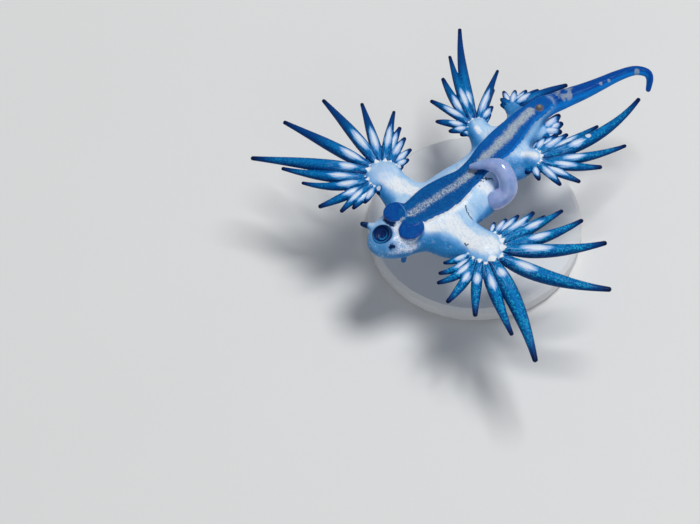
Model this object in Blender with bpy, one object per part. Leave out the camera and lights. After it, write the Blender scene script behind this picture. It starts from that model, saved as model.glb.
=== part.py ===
"""Blue dragon sea slug at life size, floating belly up, held by a plain display stand.

Run with: blender --background --python part.py
Every size below is in millimetres; meshes are written in metres. +Z is up, the head is toward -Y
and the animal's right side is toward +X. The origin is the middle of the stand's underside.
"""

import math

import bmesh
import bpy
from mathutils import Vector

MM = 0.001
GAP = 0.3
SOLE_Z = 12.5
UP = Vector((0, 0, 1))
# Rings past a round end: how far out in half heights, and their share of the end's size.
ROUND_END = ((0.60, 0.80), (0.92, 0.40))

# The body's middle line, neck to tail tip: x, y, z under the sole, half width, half height.
SPINE = (
    (0.05, -9.6, -2.10, 2.65, 1.70),
    (0.20, -7.0, -2.20, 3.05, 1.90),
    (0.65, -4.5, -2.20, 3.45, 1.95),
    (0.95, -2.0, -2.00, 3.50, 1.90),
    (0.55, 0.6, -1.85, 2.85, 1.60),
    (0.10, 3.2, -1.70, 2.55, 1.42),
    (-0.70, 5.8, -1.45, 1.90, 1.25),
    (-1.05, 8.2, -1.20, 1.45, 1.05),
    (-1.00, 10.4, -1.00, 1.15, 0.92),
    (-0.45, 12.5, -0.90, 1.05, 0.82),
    (0.25, 14.6, -0.80, 0.88, 0.70),
    (0.80, 16.6, -0.70, 0.72, 0.58),
    (1.30, 18.4, -0.55, 0.60, 0.50),
    (2.05, 20.0, -0.35, 0.52, 0.44),
    (3.00, 20.8, -0.40, 0.46, 0.40),
    (3.60, 20.8, -0.85, 0.38, 0.36),
    (4.15, 20.1, -1.55, 0.27, 0.27),
)
# Lengths along the middle line where one node ends and the next begins.
TRUNK_CUTS = (8.0, 14.6, 20.2)
TAIL_CUTS = (25.0, 29.0)
TRUNK_SIDES = 16
TAIL_SIDES = 12
BODY_RING_SPACING = 1.7
TIP_RING_SPACING = 0.8
CUT_STEP = 0.3
BODY_NAMES = ("trunk_front", "trunk_middle", "trunk_rear", "tail_base", "tail_middle", "tail_tip")

# The foot's sole: x, y, half width. It is a thin slab whose top is the sole plane.
SOLE = (
    (0.00, -9.2, 1.25),
    (0.10, -8.0, 1.45),
    (0.30, -6.0, 1.90),
    (0.45, -4.0, 1.75),
    (0.50, -2.0, 1.35),
    (0.20, 0.0, 1.28),
    (-0.15, 2.0, 1.50),
    (-0.40, 4.0, 1.58),
    (-0.75, 6.0, 1.38),
    (-1.05, 8.0, 1.12),
    (-1.05, 10.0, 1.00),
)
SOLE_HALF_HEIGHT = 0.36
SOLE_CUT = 9.3
SOLE_SIDES = 12
SOLE_RING_SPACING = 1.5

# The two rounded lobes at the foot's front corners.
LOBE_CENTRES = ((-1.20, -10.0), (1.45, -10.05))
LOBE_HALF = (1.18, 1.28, 0.45)
LOBE_RISE = 0.08
LOBE_SEGMENTS, LOBE_RINGS = 14, 6

# Head, neck to snout, in the same columns as the middle line.
HEAD = (
    (0.05, -10.0, -2.10, 2.60, 1.65),
    (0.15, -11.0, -1.95, 2.60, 1.68),
    (0.15, -12.1, -1.65, 2.30, 1.50),
    (0.10, -13.0, -1.45, 1.80, 1.20),
    (0.05, -13.6, -1.35, 1.20, 0.85),
)
NECK_OVERLAP = (0.05, -9.2, -2.10, 2.60, 1.65)
MOUTH_CENTRE = Vector((-0.20, -12.78, -0.36))
MOUTH_FACING = Vector((0, -0.45, 0.89)).normalized()
# Profile of the mouth, from the middle of its dish over the lip to the middle of its back.
MOUTH_PROFILE = ((0.45, -0.42), (0.80, -0.22), (0.95, 0.06), (1.10, 0.08), (1.20, -0.12), (1.10, -0.62))
MOUTH_DISH = -0.48
# The socket that the mouth stands in: its radius at the top and at the back, and how high it opens.
MOUTH_SOCKET = (1.15, 1.20)
SOCKET_TOP = 0.9
MOUTH_SIDES = 16

# The head's feelers: x, y, z, radius. The right oral tentacle is drawn in.
FEELERS = {
    "oral_tentacle_left": (
        (-1.45, -12.0, -1.35, 0.50), (-2.15, -12.6, -1.15, 0.36), (-2.75, -13.05, -1.00, 0.26),
    ),
    "oral_tentacle_right": (
        (0.90, -12.1, -1.50, 0.50), (1.20, -12.5, -1.05, 0.38), (1.45, -12.8, -0.55, 0.27),
    ),
    "rhinophore_left": (
        (-0.85, -10.8, -2.60, 0.42), (-1.15, -11.0, -3.60, 0.32), (-1.40, -11.4, -4.40, 0.26),
    ),
    "rhinophore_right": (
        (1.05, -10.8, -2.60, 0.42), (1.35, -11.0, -3.60, 0.32), (1.60, -11.4, -4.40, 0.26),
    ),
}
FEELER_SIDES = 8
HEAD_SIDES = 16

# Everted reproductive organ, from the right flank over to the sole: x, y, z, radius.
ORGAN = (
    (2.75, -1.70, -1.90, 0.88),
    (3.35, -1.28, -1.65, 0.97),
    (4.04, -0.78, -1.20, 0.99),
    (4.31, 0.23, -0.50, 0.97),
    (3.88, 0.70, 0.30, 0.95),
    (3.14, 0.94, 0.80, 0.94),
    (2.27, 0.89, 1.05, 0.87),
    (1.16, 0.18, 0.95, 0.56),
    (0.60, -0.49, 0.78, 0.40),
    (0.25, -0.89, 0.65, 0.28),
)
ORGAN_SIDES = 10

# Each fan: its arm rows (x, y, z, half width, half height) from inside the trunk to the middle of its
# knob, the radius of the knob's rim, and its cerata from the rear side round to the front: bearing
# on the rim, bearing and reach of the tip from the knob's middle, and how far the ceras bows to its
# left on the way. Bearings are in degrees.
FANS = {
    "front_left": (
        ((-0.8, -7.3, -2.0, 2.70, 1.45), (-3.2, -7.4, -1.75, 2.05, 1.30), (-4.6, -7.45, -1.45, 1.80, 1.02),
         (-5.8, -7.5, -1.15, 1.72, 0.80)),
        1.80,
        ((80, 80, 2.4, 0.0), (89, 87, 3.4, 0.0), (98, 98, 4.5, 0.1), (107, 113, 5.4, 0.1),
         (117, 122, 6.5, 0.2), (129, 130, 8.4, 0.1), (143, 151, 9.6, 0.0), (160, 170, 11.6, -0.1),
         (182, 193, 12.4, 0.0),
         (207, 217, 13.7, 0.0), (236, 221, 10.4, 0.45), (253, 232, 8.3, 0.7), (263, 257, 7.5, 0.15),
         (272, 273, 6.1, -0.1), (280, 280, 5.0, 0.0), (288, 288, 3.8, 0.0), (298, 304, 2.6, 0.0)),
    ),
    "front_right": (
        ((1.2, -7.0, -2.2, 3.40, 1.75), (4.0, -6.8, -1.9, 2.75, 1.50), (6.0, -6.2, -1.45, 2.12, 1.10),
         (7.66, -5.8, -1.15, 1.85, 0.82)),
        1.90,
        ((118, 122, 3.4, 0.0), (109, 108, 4.3, 0.0), (100, 99, 5.4, 0.0), (91, 91, 6.8, -0.2),
         (82, 82, 7.4, -0.15), (71, 80, 9.3, -0.25), (60, 69, 10.6, -0.6), (43, 53, 12.3, -0.7),
         (14, 28, 13.4, -0.85),
         (-20, -22, 14.1, 0.45), (-47, -28, 10.5, -0.2), (-66, -50, 8.1, -0.15), (-81, -74, 7.5, 0.3),
         (-92, -93, 6.4, 0.7), (-102, -101, 5.6, 0.5), (-112, -111, 4.6, 0.3), (-123, -127, 3.2, 0.0),
         (-136, -148, 2.5, 0.0)),
    ),
    "middle_left": (
        ((-0.8, 3.4, -1.8, 2.00, 1.25), (-2.2, 3.5, -1.7, 1.65, 1.15), (-3.1, 3.55, -1.45, 1.35, 0.95),
         (-3.85, 3.6, -1.1, 1.12, 0.65)),
        1.00,
        ((82, 100, 2.3, 0.0), (96, 107, 3.2, 0.0), (110, 118, 5.3, 0.15), (129, 121, 7.8, 0.05),
         (156, 145, 13.0, 0.4), (178, 154, 9.7, 0.2), (198, 166, 7.3, 0.25), (222, 191, 5.9, -0.1),
         (240, 216, 4.3, -0.1), (255, 236, 2.9, 0.0), (270, 256, 1.9, 0.0)),
    ),
    "middle_right": (
        ((0.3, 3.7, -1.9, 2.50, 1.35), (1.6, 3.95, -1.85, 2.15, 1.25), (2.35, 4.55, -1.6, 1.65, 1.00),
         (2.85, 5.15, -1.1, 1.12, 0.68)),
        1.00,
        ((137, 122, 2.5, 0.0), (121, 112, 3.2, 0.0), (107, 101, 4.0, 0.0), (92, 90, 4.9, 0.0),
         (72, 81, 8.1, -0.1), (48, 84, 13.7, -1.3), (25, 60, 9.8, -0.6), (5, 42, 7.1, -0.35),
         (-12, 19, 5.5, 0.0), (-28, 0, 4.2, 0.1), (-48, -28, 2.6, 0.0), (-68, -60, 1.9, 0.0)),
    ),
    "rear_left": (
        ((-1.2, 7.6, -1.4, 1.10, 0.80), (-2.5, 7.8, -1.35, 0.95, 0.75), (-3.4, 8.0, -1.2, 0.80, 0.55)),
        0.60,
        ((58, 76, 6.6, 0.15), (92, 88, 3.7, 0.0), (120, 103, 2.8, 0.0), (146, 127, 2.3, 0.0),
         (168, 158, 2.3, 0.0), (196, 180, 1.6, 0.0), (218, 205, 1.2, 0.0)),
    ),
    "rear_right": (
        ((-0.3, 6.2, -2.0, 0.90, 0.80), (0.3, 7.4, -2.1, 0.85, 0.75), (0.6, 8.5, -2.1, 0.75, 0.52)),
        0.55,
        ((125, 114, 2.0, 0.0), (94, 100, 3.1, 0.0), (62, 80, 2.6, 0.0), (32, 55, 2.1, 0.0),
         (2, 30, 1.8, 0.0), (-25, -10, 1.5, 0.0)),
    ),
}
# The widest part of a ceras: the slimmest, and what each millimetre of length adds, fan by fan.
CERAS_WIDTHS = {
    "front_left": (0.55, 0.066),
    "front_right": (0.42, 0.103),
    "middle_left": (0.70, 0.040),
    "middle_right": (0.70, 0.050),
    "rear_left": (0.62, 0.060),
    "rear_right": (0.75, 0.050),
}
ARM_SIDES = 12
KNOB_END = ((0.55, 0.90), (0.95, 0.50))
CERAS_SIDES = 6
# Ceras outline: share of its length, share of its widest half width.
LONG_OUTLINE = ((0.0, 0.50), (0.30, 1.0), (0.52, 0.82), (0.82, 0.45), (1.0, 0.30))
MIDDLE_OUTLINE = ((0.0, 0.50), (0.38, 1.0), (0.76, 0.68), (1.0, 0.36))
SHORT_OUTLINE = ((0.0, 0.50), (0.42, 1.0), (0.80, 0.76), (1.0, 0.38))
LONG_CERAS = 7.0
SHORT_CERAS = 4.2
THINNEST = 0.25
CERAS_SINK = 0.58
CERAS_DROOP = 0.045
CERAS_LAYER = 0.16
CERAS_HEIGHT = 0.85

STAND_RADIUS = 11.0
STAND_THICKNESS = 2.0
STAND_EDGE = 0.4
STAND_SIDES = 36
ROD_RADIUS = 0.8
ROD_SIDES = 16
ROD_PLACES = (("front", 0.35, -4.2), ("rear", -0.35, 4.0))
ROD_SINK = 0.9

COLOURS = {
    "silver_skin": (0.62, 0.72, 0.86, 0.30),
    "blue_sole": (0.02, 0.10, 0.38, 0.35),
    "blue_tail": (0.02, 0.14, 0.55, 0.30),
    "blue_cerata": (0.03, 0.20, 0.50, 0.30),
    "dark_mouth": (0.01, 0.03, 0.12, 0.30),
    "lavender_organ": (0.48, 0.50, 0.72, 0.25),
    "pale_stand": (0.78, 0.79, 0.80, 0.55),
}


def clear_scene():
    for obj in list(bpy.data.objects):
        bpy.data.objects.remove(obj, do_unlink=True)


def material(name):
    found = bpy.data.materials.get(name)
    if found:
        return found
    red, green, blue, roughness = COLOURS[name]
    made = bpy.data.materials.new(name)
    made.use_nodes = True
    made.diffuse_color = (red, green, blue, 1)
    shader = made.node_tree.nodes["Principled BSDF"]
    shader.inputs["Base Color"].default_value = (red, green, blue, 1)
    shader.inputs["Roughness"].default_value = roughness
    return made


def add_object(name, mesh_data, colour, cutter=False):
    """Turns a bmesh in millimetres, measured from the sole plane, into an object in metres."""
    bmesh.ops.recalc_face_normals(mesh_data, faces=mesh_data.faces)
    mesh = bpy.data.meshes.new(name)
    mesh_data.to_mesh(mesh)
    mesh_data.free()
    for vertex in mesh.vertices:
        vertex.co = (vertex.co + UP * SOLE_Z) * MM
    mesh.shade_smooth()
    mesh.materials.append(material(colour))
    obj = bpy.data.objects.new(name, mesh)
    bpy.context.scene.collection.objects.link(obj)
    if cutter:
        obj.hide_render = True
        obj.display_type = "WIRE"
    return obj


def combine(obj, other, operation, solver="EXACT"):
    change = obj.modifiers.new(f"{operation.lower()}_{other.name}", "BOOLEAN")
    change.operation = operation
    change.object = other
    change.solver = solver


def curve_through(rows, per_span):
    """Rows on a smooth curve through the given rows, with per_span steps between each two."""
    padded = [rows[0]] + list(rows) + [rows[-1]]
    result = []
    for index in range(len(rows) - 1):
        before, start, end, after = padded[index : index + 4]
        for step in range(per_span):
            t = step / per_span
            row = []
            for a, b, c, d in zip(before, start, end, after):
                bend = (2 * a - 5 * b + 4 * c - d) * t**2 + (3 * b - a - 3 * c + d) * t**3
                row.append(0.5 * (2 * b + (c - a) * t + bend))
            result.append(tuple(row))
    result.append(tuple(rows[-1]))
    return result


def lengths_along(rows):
    total = 0.0
    result = [total]
    for first, second in zip(rows, rows[1:]):
        total += (Vector(second[:3]) - Vector(first[:3])).length
        result.append(total)
    return result


def row_at(rows, lengths, place):
    """The row at a length along the curve, between its two neighbours."""
    place = min(max(place, 0.0), lengths[-1])
    index = max(i for i, length in enumerate(lengths[:-1]) if length <= place)
    share = (place - lengths[index]) / (lengths[index + 1] - lengths[index])
    return tuple(a + (b - a) * share for a, b in zip(rows[index], rows[index + 1]))


def stretch(rows, start, end, spacing):
    """Rows from start to end along the curve, about spacing apart."""
    lengths = lengths_along(rows)
    count = max(2, round((end - start) / spacing))
    return [row_at(rows, lengths, start + (end - start) * step / count) for step in range(count + 1)]


def cut_stretch(rows, start, end, spacing):
    """A stretch with a short first and last step, so that the faces at a cut stay parallel."""
    lengths = lengths_along(rows)
    inner = stretch(rows, start + CUT_STEP, end - CUT_STEP, spacing)
    return [row_at(rows, lengths, start), *inner, row_at(rows, lengths, end)]


def rounded(rows, at_start, at_end):
    """Adds two shrinking rows past each end that is to be round."""
    rows = list(rows)
    for is_wanted, first, second in ((at_start, 0, 1), (at_end, -1, -2)):
        if not is_wanted:
            continue
        outward = (Vector(rows[first][:3]) - Vector(rows[second][:3])).normalized()
        x, y, z, half_width, half_height = rows[first]
        for step, share in ROUND_END:
            place = Vector((x, y, z)) + outward * half_height * step
            row = (*place, half_width * share, half_height * share)
            if first == 0:
                rows.insert(0, row)
            else:
                rows.append(row)
    return rows


def tube(rows, sides, grow=0.0):
    """A closed bmesh round the rows: each ring is an oval square to the curve, wider sideways."""
    mesh_data = bmesh.new()
    centres = [Vector(row[:3]) for row in rows]
    rings = []
    for index, (centre, row) in enumerate(zip(centres, rows)):
        ahead = centres[min(index + 1, len(rows) - 1)]
        behind = centres[max(index - 1, 0)]
        along = (ahead - behind).normalized()
        if grow and index in (0, len(rows) - 1):
            centre = centre + along * (grow if index else -grow)
        aside = along.cross(UP)
        aside = aside.normalized() if aside.length > 0.05 else Vector((1, 0, 0))
        upward = aside.cross(along)
        ring = []
        for side in range(sides):
            angle = 2 * math.pi * side / sides
            across = aside * math.cos(angle) * (row[3] + grow)
            ring.append(mesh_data.verts.new(centre + across + upward * math.sin(angle) * (row[4] + grow)))
        rings.append(ring)
    for first, second in zip(rings, rings[1:]):
        for side in range(sides):
            following = (side + 1) % sides
            mesh_data.faces.new((first[side], first[following], second[following], second[side]))
    mesh_data.faces.new(rings[0])
    mesh_data.faces.new(rings[-1])
    return mesh_data


def ellipsoid(centre, half_sizes, grow=0.0):
    mesh_data = bmesh.new()
    bmesh.ops.create_uvsphere(mesh_data, u_segments=LOBE_SEGMENTS, v_segments=LOBE_RINGS, radius=1)
    for vertex in mesh_data.verts:
        for axis in range(3):
            vertex.co[axis] = centre[axis] + vertex.co[axis] * (half_sizes[axis] + grow)
    return mesh_data


def spine_rows():
    return curve_through(SPINE, 6)


def sole_rows():
    flat = [(x, y, -SOLE_HALF_HEIGHT, half_width, SOLE_HALF_HEIGHT) for x, y, half_width in SOLE]
    return curve_through(flat, 4)


def make_cutters():
    """Shapes grown by the gap, which keep each neighbour clear of the piece they stand for."""
    spine = spine_rows()
    whole = stretch(spine, 0, lengths_along(spine)[-1], BODY_RING_SPACING)
    sole = sole_rows()
    return {
        "body": add_object("cutter_body", tube(whole, TRUNK_SIDES, GAP), "silver_skin", cutter=True),
        "head": add_object(
            "cutter_head", tube(rounded((NECK_OVERLAP, *HEAD), False, True), HEAD_SIDES, GAP),
            "silver_skin", cutter=True,
        ),
        "sole": add_object(
            "cutter_sole", tube(rounded(sole[::2], True, True), SOLE_SIDES, GAP), "blue_sole", cutter=True
        ),
        "mouth": add_object("cutter_mouth", mouth_mesh(GAP), "dark_mouth", cutter=True),
        "lobe_left": add_object("cutter_lobe_left", lobe_mesh(0, GAP), "blue_sole", cutter=True),
        "lobe_right": add_object("cutter_lobe_right", lobe_mesh(1, GAP), "blue_sole", cutter=True),
    }


def lobe_mesh(which, grow=0.0):
    x, y = LOBE_CENTRES[which]
    return ellipsoid((x, y, LOBE_RISE - LOBE_HALF[2]), LOBE_HALF, grow)


def make_foot(cutters):
    """Two front lobes and the sole in two lengths, which the lobes are cut clear of."""
    for which, side in enumerate(("left", "right")):
        lobe = add_object(f"foot_lobe_{side}", lobe_mesh(which), "blue_sole")
        combine(lobe, cutters["sole"], "DIFFERENCE")
    rows = sole_rows()
    total = lengths_along(rows)[-1]
    front = rounded(stretch(rows, 0, SOLE_CUT - GAP / 2, SOLE_RING_SPACING), True, False)
    rear = rounded(stretch(rows, SOLE_CUT + GAP / 2, total, SOLE_RING_SPACING), False, True)
    add_object("foot_sole_front", tube(front, SOLE_SIDES), "blue_sole")
    add_object("foot_sole_rear", tube(rear, SOLE_SIDES), "blue_sole")


def make_body(cutters, rod_cutters):
    """Trunk and tail as lengths of one smooth shape, parted by thin cuts."""
    rows = spine_rows()
    ends = [0.0, *TRUNK_CUTS, *TAIL_CUTS, lengths_along(rows)[-1]]
    last = len(BODY_NAMES) - 1
    for index, name in enumerate(BODY_NAMES):
        start = ends[index] + (GAP / 2 if index else 0)
        end = ends[index + 1] - (GAP / 2 if index < last else 0)
        colour = "blue_tail" if name.startswith("tail") else "silver_skin"
        spacing = TIP_RING_SPACING if index == last else BODY_RING_SPACING
        part = rounded(cut_stretch(rows, start, end, spacing), False, index == last)
        sides = TRUNK_SIDES if index < 3 else TAIL_SIDES
        obj = add_object(name, tube(part, sides), colour)
        if index < 3:
            combine(obj, cutters["sole"], "DIFFERENCE")
        if index == 0:
            combine(obj, cutters["lobe_left"], "DIFFERENCE")
            combine(obj, cutters["lobe_right"], "DIFFERENCE")
        if index < 2:
            combine(obj, rod_cutters[index], "DIFFERENCE")


def mouth_mesh(grow=0.0):
    """The mouth as a turned shape about its facing: a dish with a lip, or its grown outer form."""
    mesh_data = bmesh.new()
    tilt = UP.rotation_difference(MOUTH_FACING)
    profile = MOUTH_PROFILE
    dish, back = MOUTH_DISH, MOUTH_PROFILE[-1][1]
    if grow:
        dish, back = SOCKET_TOP, back - grow
        profile = [(MOUTH_SOCKET[0] + grow, dish), (MOUTH_SOCKET[1] + grow, back)]
    rings = []
    for radius, height in profile:
        ring = []
        for side in range(MOUTH_SIDES):
            angle = 2 * math.pi * side / MOUTH_SIDES
            point = Vector((radius * math.cos(angle), radius * math.sin(angle), height))
            ring.append(mesh_data.verts.new(MOUTH_CENTRE + tilt @ point))
        rings.append(ring)
    for first, second in zip(rings, rings[1:]):
        for side in range(MOUTH_SIDES):
            following = (side + 1) % MOUTH_SIDES
            mesh_data.faces.new((first[side], first[following], second[following], second[side]))
    for ring, height in ((rings[0], dish), (rings[-1], back)):
        pole = mesh_data.verts.new(MOUTH_CENTRE + tilt @ Vector((0, 0, height)))
        for side in range(MOUTH_SIDES):
            mesh_data.faces.new((ring[side], ring[(side + 1) % MOUTH_SIDES], pole))
    return mesh_data


def make_head(cutters):
    head = add_object("head", tube(rounded(HEAD, False, True), HEAD_SIDES), "silver_skin")
    for name in ("sole", "lobe_left", "lobe_right", "mouth"):
        combine(head, cutters[name], "DIFFERENCE")
    add_object("mouth", mouth_mesh(), "dark_mouth")
    for name, rows in FEELERS.items():
        round_rows = [(*row, row[-1]) for row in rows]
        feeler = add_object(name, tube(rounded(round_rows, False, True), FEELER_SIDES), "silver_skin")
        combine(feeler, cutters["head"], "DIFFERENCE")


def ceras_rows(fan, centre, rim_radius, ceras, order):
    """Rows of one ceras, from inside the knob's rim to its tip, on one gentle curve."""
    rim_bearing, tip_bearing, reach, bow = ceras
    start = centre + bearing(rim_bearing) * (rim_radius - CERAS_SINK)
    tip = centre + bearing(tip_bearing) * reach
    length = (tip - start).length
    left = UP.cross((tip - start).normalized())
    bend = (start + tip) / 2 + left * 2 * bow
    tip = tip - UP * CERAS_DROOP * length
    layer = UP * CERAS_LAYER * (1 if order % 2 else -1)
    slimmest, per_length = CERAS_WIDTHS[fan]
    widest = (slimmest + per_length * length) / 2
    outline = LONG_OUTLINE if length > LONG_CERAS else MIDDLE_OUTLINE
    if length < SHORT_CERAS:
        outline = SHORT_OUTLINE
    rows = []
    for t, width in outline:
        place = start * (1 - t) ** 2 + bend * 2 * t * (1 - t) + tip * t**2 + layer * (1 - t)
        half = max(widest * width, THINNEST)
        rows.append((*place, half, half * CERAS_HEIGHT))
    return rows


def bearing(degrees):
    angle = math.radians(degrees)
    return Vector((math.cos(angle), math.sin(angle), 0))


def arm_with_knob(name):
    """Rows of an arm, ending in a flat round knob that the cerata stand on."""
    arm_rows, rim_radius = FANS[name][:2]
    outward = (Vector(arm_rows[-1][:3]) - Vector(arm_rows[-2][:3])).normalized()
    rows = list(arm_rows)
    for step, share in KNOB_END:
        place = Vector(arm_rows[-1][:3]) + outward * rim_radius * step
        rows.append((*place, arm_rows[-1][3] * share, arm_rows[-1][4] * share))
    return rows


def make_fan(name, cutters, other_arms):
    """An arm with its cerata. Many crossing pieces are joined here, which needs MANIFOLD."""
    arm_rows, rim_radius, cerata = FANS[name]
    arm = add_object(f"arm_{name}", tube(arm_with_knob(name), ARM_SIDES), "blue_cerata")
    centre = Vector(arm_rows[-1][:3])
    for order, ceras in enumerate(cerata):
        shape = tube(ceras_rows(name, centre, rim_radius, ceras, order), CERAS_SIDES)
        finger = add_object(f"ceras_{name}_{order + 1}", shape, "blue_cerata", cutter=True)
        combine(arm, finger, "UNION", "MANIFOLD")
    for cutter in (cutters["body"], *other_arms):
        combine(arm, cutter, "DIFFERENCE", "MANIFOLD")
    if name.startswith("front"):
        combine(arm, cutters["head"], "DIFFERENCE", "MANIFOLD")


def arm_cutter(name):
    shape = tube(arm_with_knob(name), ARM_SIDES, GAP)
    return add_object(f"cutter_arm_{name}", shape, "blue_cerata", cutter=True)


def make_organ(cutters):
    rows = [(*row, row[-1]) for row in curve_through(ORGAN, 2)]
    organ = add_object("reproductive_organ", tube(rounded(rows, False, True), ORGAN_SIDES), "lavender_organ")
    combine(organ, cutters["body"], "DIFFERENCE")


def cylinder(centre, radius, bottom, top, sides):
    """A closed upright cylinder between two heights above the floor."""
    mesh_data = bmesh.new()
    bmesh.ops.create_cone(
        mesh_data, cap_ends=True, segments=sides, radius1=radius, radius2=radius, depth=top - bottom
    )
    middle = Vector((centre[0], centre[1], (top + bottom) / 2 - SOLE_Z))
    bmesh.ops.translate(mesh_data, verts=mesh_data.verts, vec=middle)
    return mesh_data


def underside(x, y):
    """Height above the floor of the trunk's underside over a point of its middle line."""
    nearest = min(spine_rows(), key=lambda row: math.hypot(row[0] - x, row[1] - y))
    return SOLE_Z + nearest[2] - nearest[4]


def make_stand():
    """Flat base and two short rods, which end inside shallow pockets in the trunk."""
    disc = cylinder((0, 0), STAND_RADIUS, 0, STAND_THICKNESS, STAND_SIDES)
    base = add_object("stand_base", disc, "pale_stand")
    edge = base.modifiers.new("edge", "BEVEL")
    edge.width = STAND_EDGE * MM
    edge.segments = 1
    edge.limit_method = "ANGLE"
    pockets = []
    for side, x, y in ROD_PLACES:
        top = underside(x, y) + ROD_SINK
        rod = cylinder((x, y), ROD_RADIUS, STAND_THICKNESS + GAP, top, ROD_SIDES)
        add_object(f"stand_rod_{side}", rod, "pale_stand")
        pocket = cylinder((x, y), ROD_RADIUS + GAP, STAND_THICKNESS, top + GAP, ROD_SIDES)
        pockets.append(add_object(f"cutter_rod_{side}", pocket, "pale_stand", cutter=True))
    return pockets


def main():
    clear_scene()
    cutters = make_cutters()
    rod_cutters = make_stand()
    make_foot(cutters)
    make_body(cutters, rod_cutters)
    make_head(cutters)
    make_organ(cutters)
    middle_right = arm_cutter("middle_right")
    for name in FANS:
        make_fan(name, cutters, [middle_right] if name == "rear_right" else [])


main()
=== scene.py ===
"""Looks of the blue dragon sea slug, floating belly up on its display stand.

One skin without seams is grown round the body, arms and cerata, and stands for their solids. The mouth
and the everted reproductive organ are pieces of their own. Sizes are in millimetres from the sole
plane, as in the model's own tables, and turn into metres where a mesh is written.
"""

import math

import bpy
import numpy as np
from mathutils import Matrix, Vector


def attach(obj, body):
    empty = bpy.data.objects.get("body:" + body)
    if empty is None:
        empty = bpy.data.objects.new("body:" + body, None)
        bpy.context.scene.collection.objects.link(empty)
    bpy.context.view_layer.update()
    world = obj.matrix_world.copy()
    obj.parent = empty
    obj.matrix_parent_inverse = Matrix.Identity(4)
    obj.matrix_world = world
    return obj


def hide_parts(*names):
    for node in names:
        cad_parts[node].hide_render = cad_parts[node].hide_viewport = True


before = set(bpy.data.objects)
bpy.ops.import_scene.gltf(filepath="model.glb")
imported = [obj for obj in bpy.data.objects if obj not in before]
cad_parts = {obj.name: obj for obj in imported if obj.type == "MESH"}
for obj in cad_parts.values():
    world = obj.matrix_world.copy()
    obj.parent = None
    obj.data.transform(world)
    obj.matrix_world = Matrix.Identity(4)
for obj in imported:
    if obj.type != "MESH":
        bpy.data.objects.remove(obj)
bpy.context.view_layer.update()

MM = 0.001
SOLE_Z = 12.5
CELL = 0.085
GRID_LOW = (-18.6, -16.8, -5.3)
GRID_HIGH = (21.8, 22.0, 0.6)
FAR = 3.0
SMOOTHING_ROUNDS = 3

# The body's middle line, neck to tail tip: x, y, z under the sole, half width, half height.
SPINE = (
    (0.05, -9.6, -2.10, 2.65, 1.70),
    (0.20, -7.0, -2.20, 3.05, 1.90),
    (0.65, -4.5, -2.20, 3.45, 1.95),
    (0.95, -2.0, -2.00, 3.50, 1.90),
    (0.55, 0.6, -1.85, 2.85, 1.60),
    (0.10, 3.2, -1.70, 2.55, 1.42),
    (-0.70, 5.8, -1.45, 1.90, 1.25),
    (-1.05, 8.2, -1.20, 1.45, 1.05),
    (-1.00, 10.4, -1.00, 1.15, 0.92),
    (-0.45, 12.5, -0.90, 1.05, 0.82),
    (0.25, 14.6, -0.80, 0.88, 0.70),
    (0.80, 16.6, -0.70, 0.72, 0.58),
    (1.30, 18.4, -0.55, 0.60, 0.50),
    (2.05, 20.0, -0.35, 0.52, 0.44),
    (3.00, 20.8, -0.40, 0.46, 0.40),
    (3.60, 20.8, -0.85, 0.38, 0.36),
    (4.15, 20.1, -1.55, 0.27, 0.27),
)

# The foot's sole: x, y, half width.
SOLE = (
    (0.10, -9.0, 1.42),
    (0.15, -8.2, 1.55),
    (0.20, -7.4, 1.68),
    (0.30, -6.0, 1.90),
    (0.45, -4.0, 1.75),
    (0.50, -2.0, 1.35),
    (0.20, 0.0, 1.28),
    (-0.15, 2.0, 1.50),
    (-0.40, 4.0, 1.58),
    (-0.75, 6.0, 1.38),
    (-1.05, 8.0, 1.12),
    (-1.05, 10.0, 1.00),
    (-0.80, 11.4, 0.62),
)
SOLE_HALF_HEIGHT = 0.36
SOLE_EDGE = 0.24

# The foot's two front lobes: x, y, half width, half length.
LOBES = (
    (-1.20, -10.00, 1.18, 1.28),
    (1.42, -10.20, 1.17, 1.42),
)
LOBE_HALF_HEIGHT = 0.45
LOBE_RISE = 0.02
LOBE_EDGE = 0.26

# Head, neck to snout, in the same columns as the middle line.
HEAD = (
    (0.05, -10.0, -2.10, 2.60, 1.65),
    (0.15, -11.0, -1.95, 2.60, 1.68),
    (0.15, -12.1, -1.65, 2.30, 1.50),
    (0.10, -13.0, -1.45, 1.80, 1.20),
    (0.05, -13.6, -1.35, 1.20, 0.85),
)
MOUTH_CENTRE = (-0.20, -12.78, -0.36)
MOUTH_FACING = (0.0, -0.45, 0.89)
MOUTH_SOCKET_RADIUS = 1.0
MOUTH_SOCKET_DEPTH = 1.0

# The head's feelers: x, y, z, radius. The right oral tentacle is drawn in.
FEELERS = {
    "oral_tentacle_left": (
        (-1.45, -12.0, -1.35, 0.50), (-2.15, -12.6, -1.15, 0.36), (-2.75, -13.05, -1.00, 0.26),
    ),
    "oral_tentacle_right": (
        (0.90, -12.1, -1.50, 0.50), (1.20, -12.5, -1.05, 0.38), (1.45, -12.8, -0.55, 0.27),
    ),
    "rhinophore_left": (
        (-0.85, -10.8, -2.60, 0.42), (-1.15, -11.0, -3.60, 0.32), (-1.40, -11.4, -4.40, 0.26),
    ),
    "rhinophore_right": (
        (1.05, -10.8, -2.60, 0.42), (1.35, -11.0, -3.60, 0.32), (1.60, -11.4, -4.40, 0.26),
    ),
}

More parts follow.
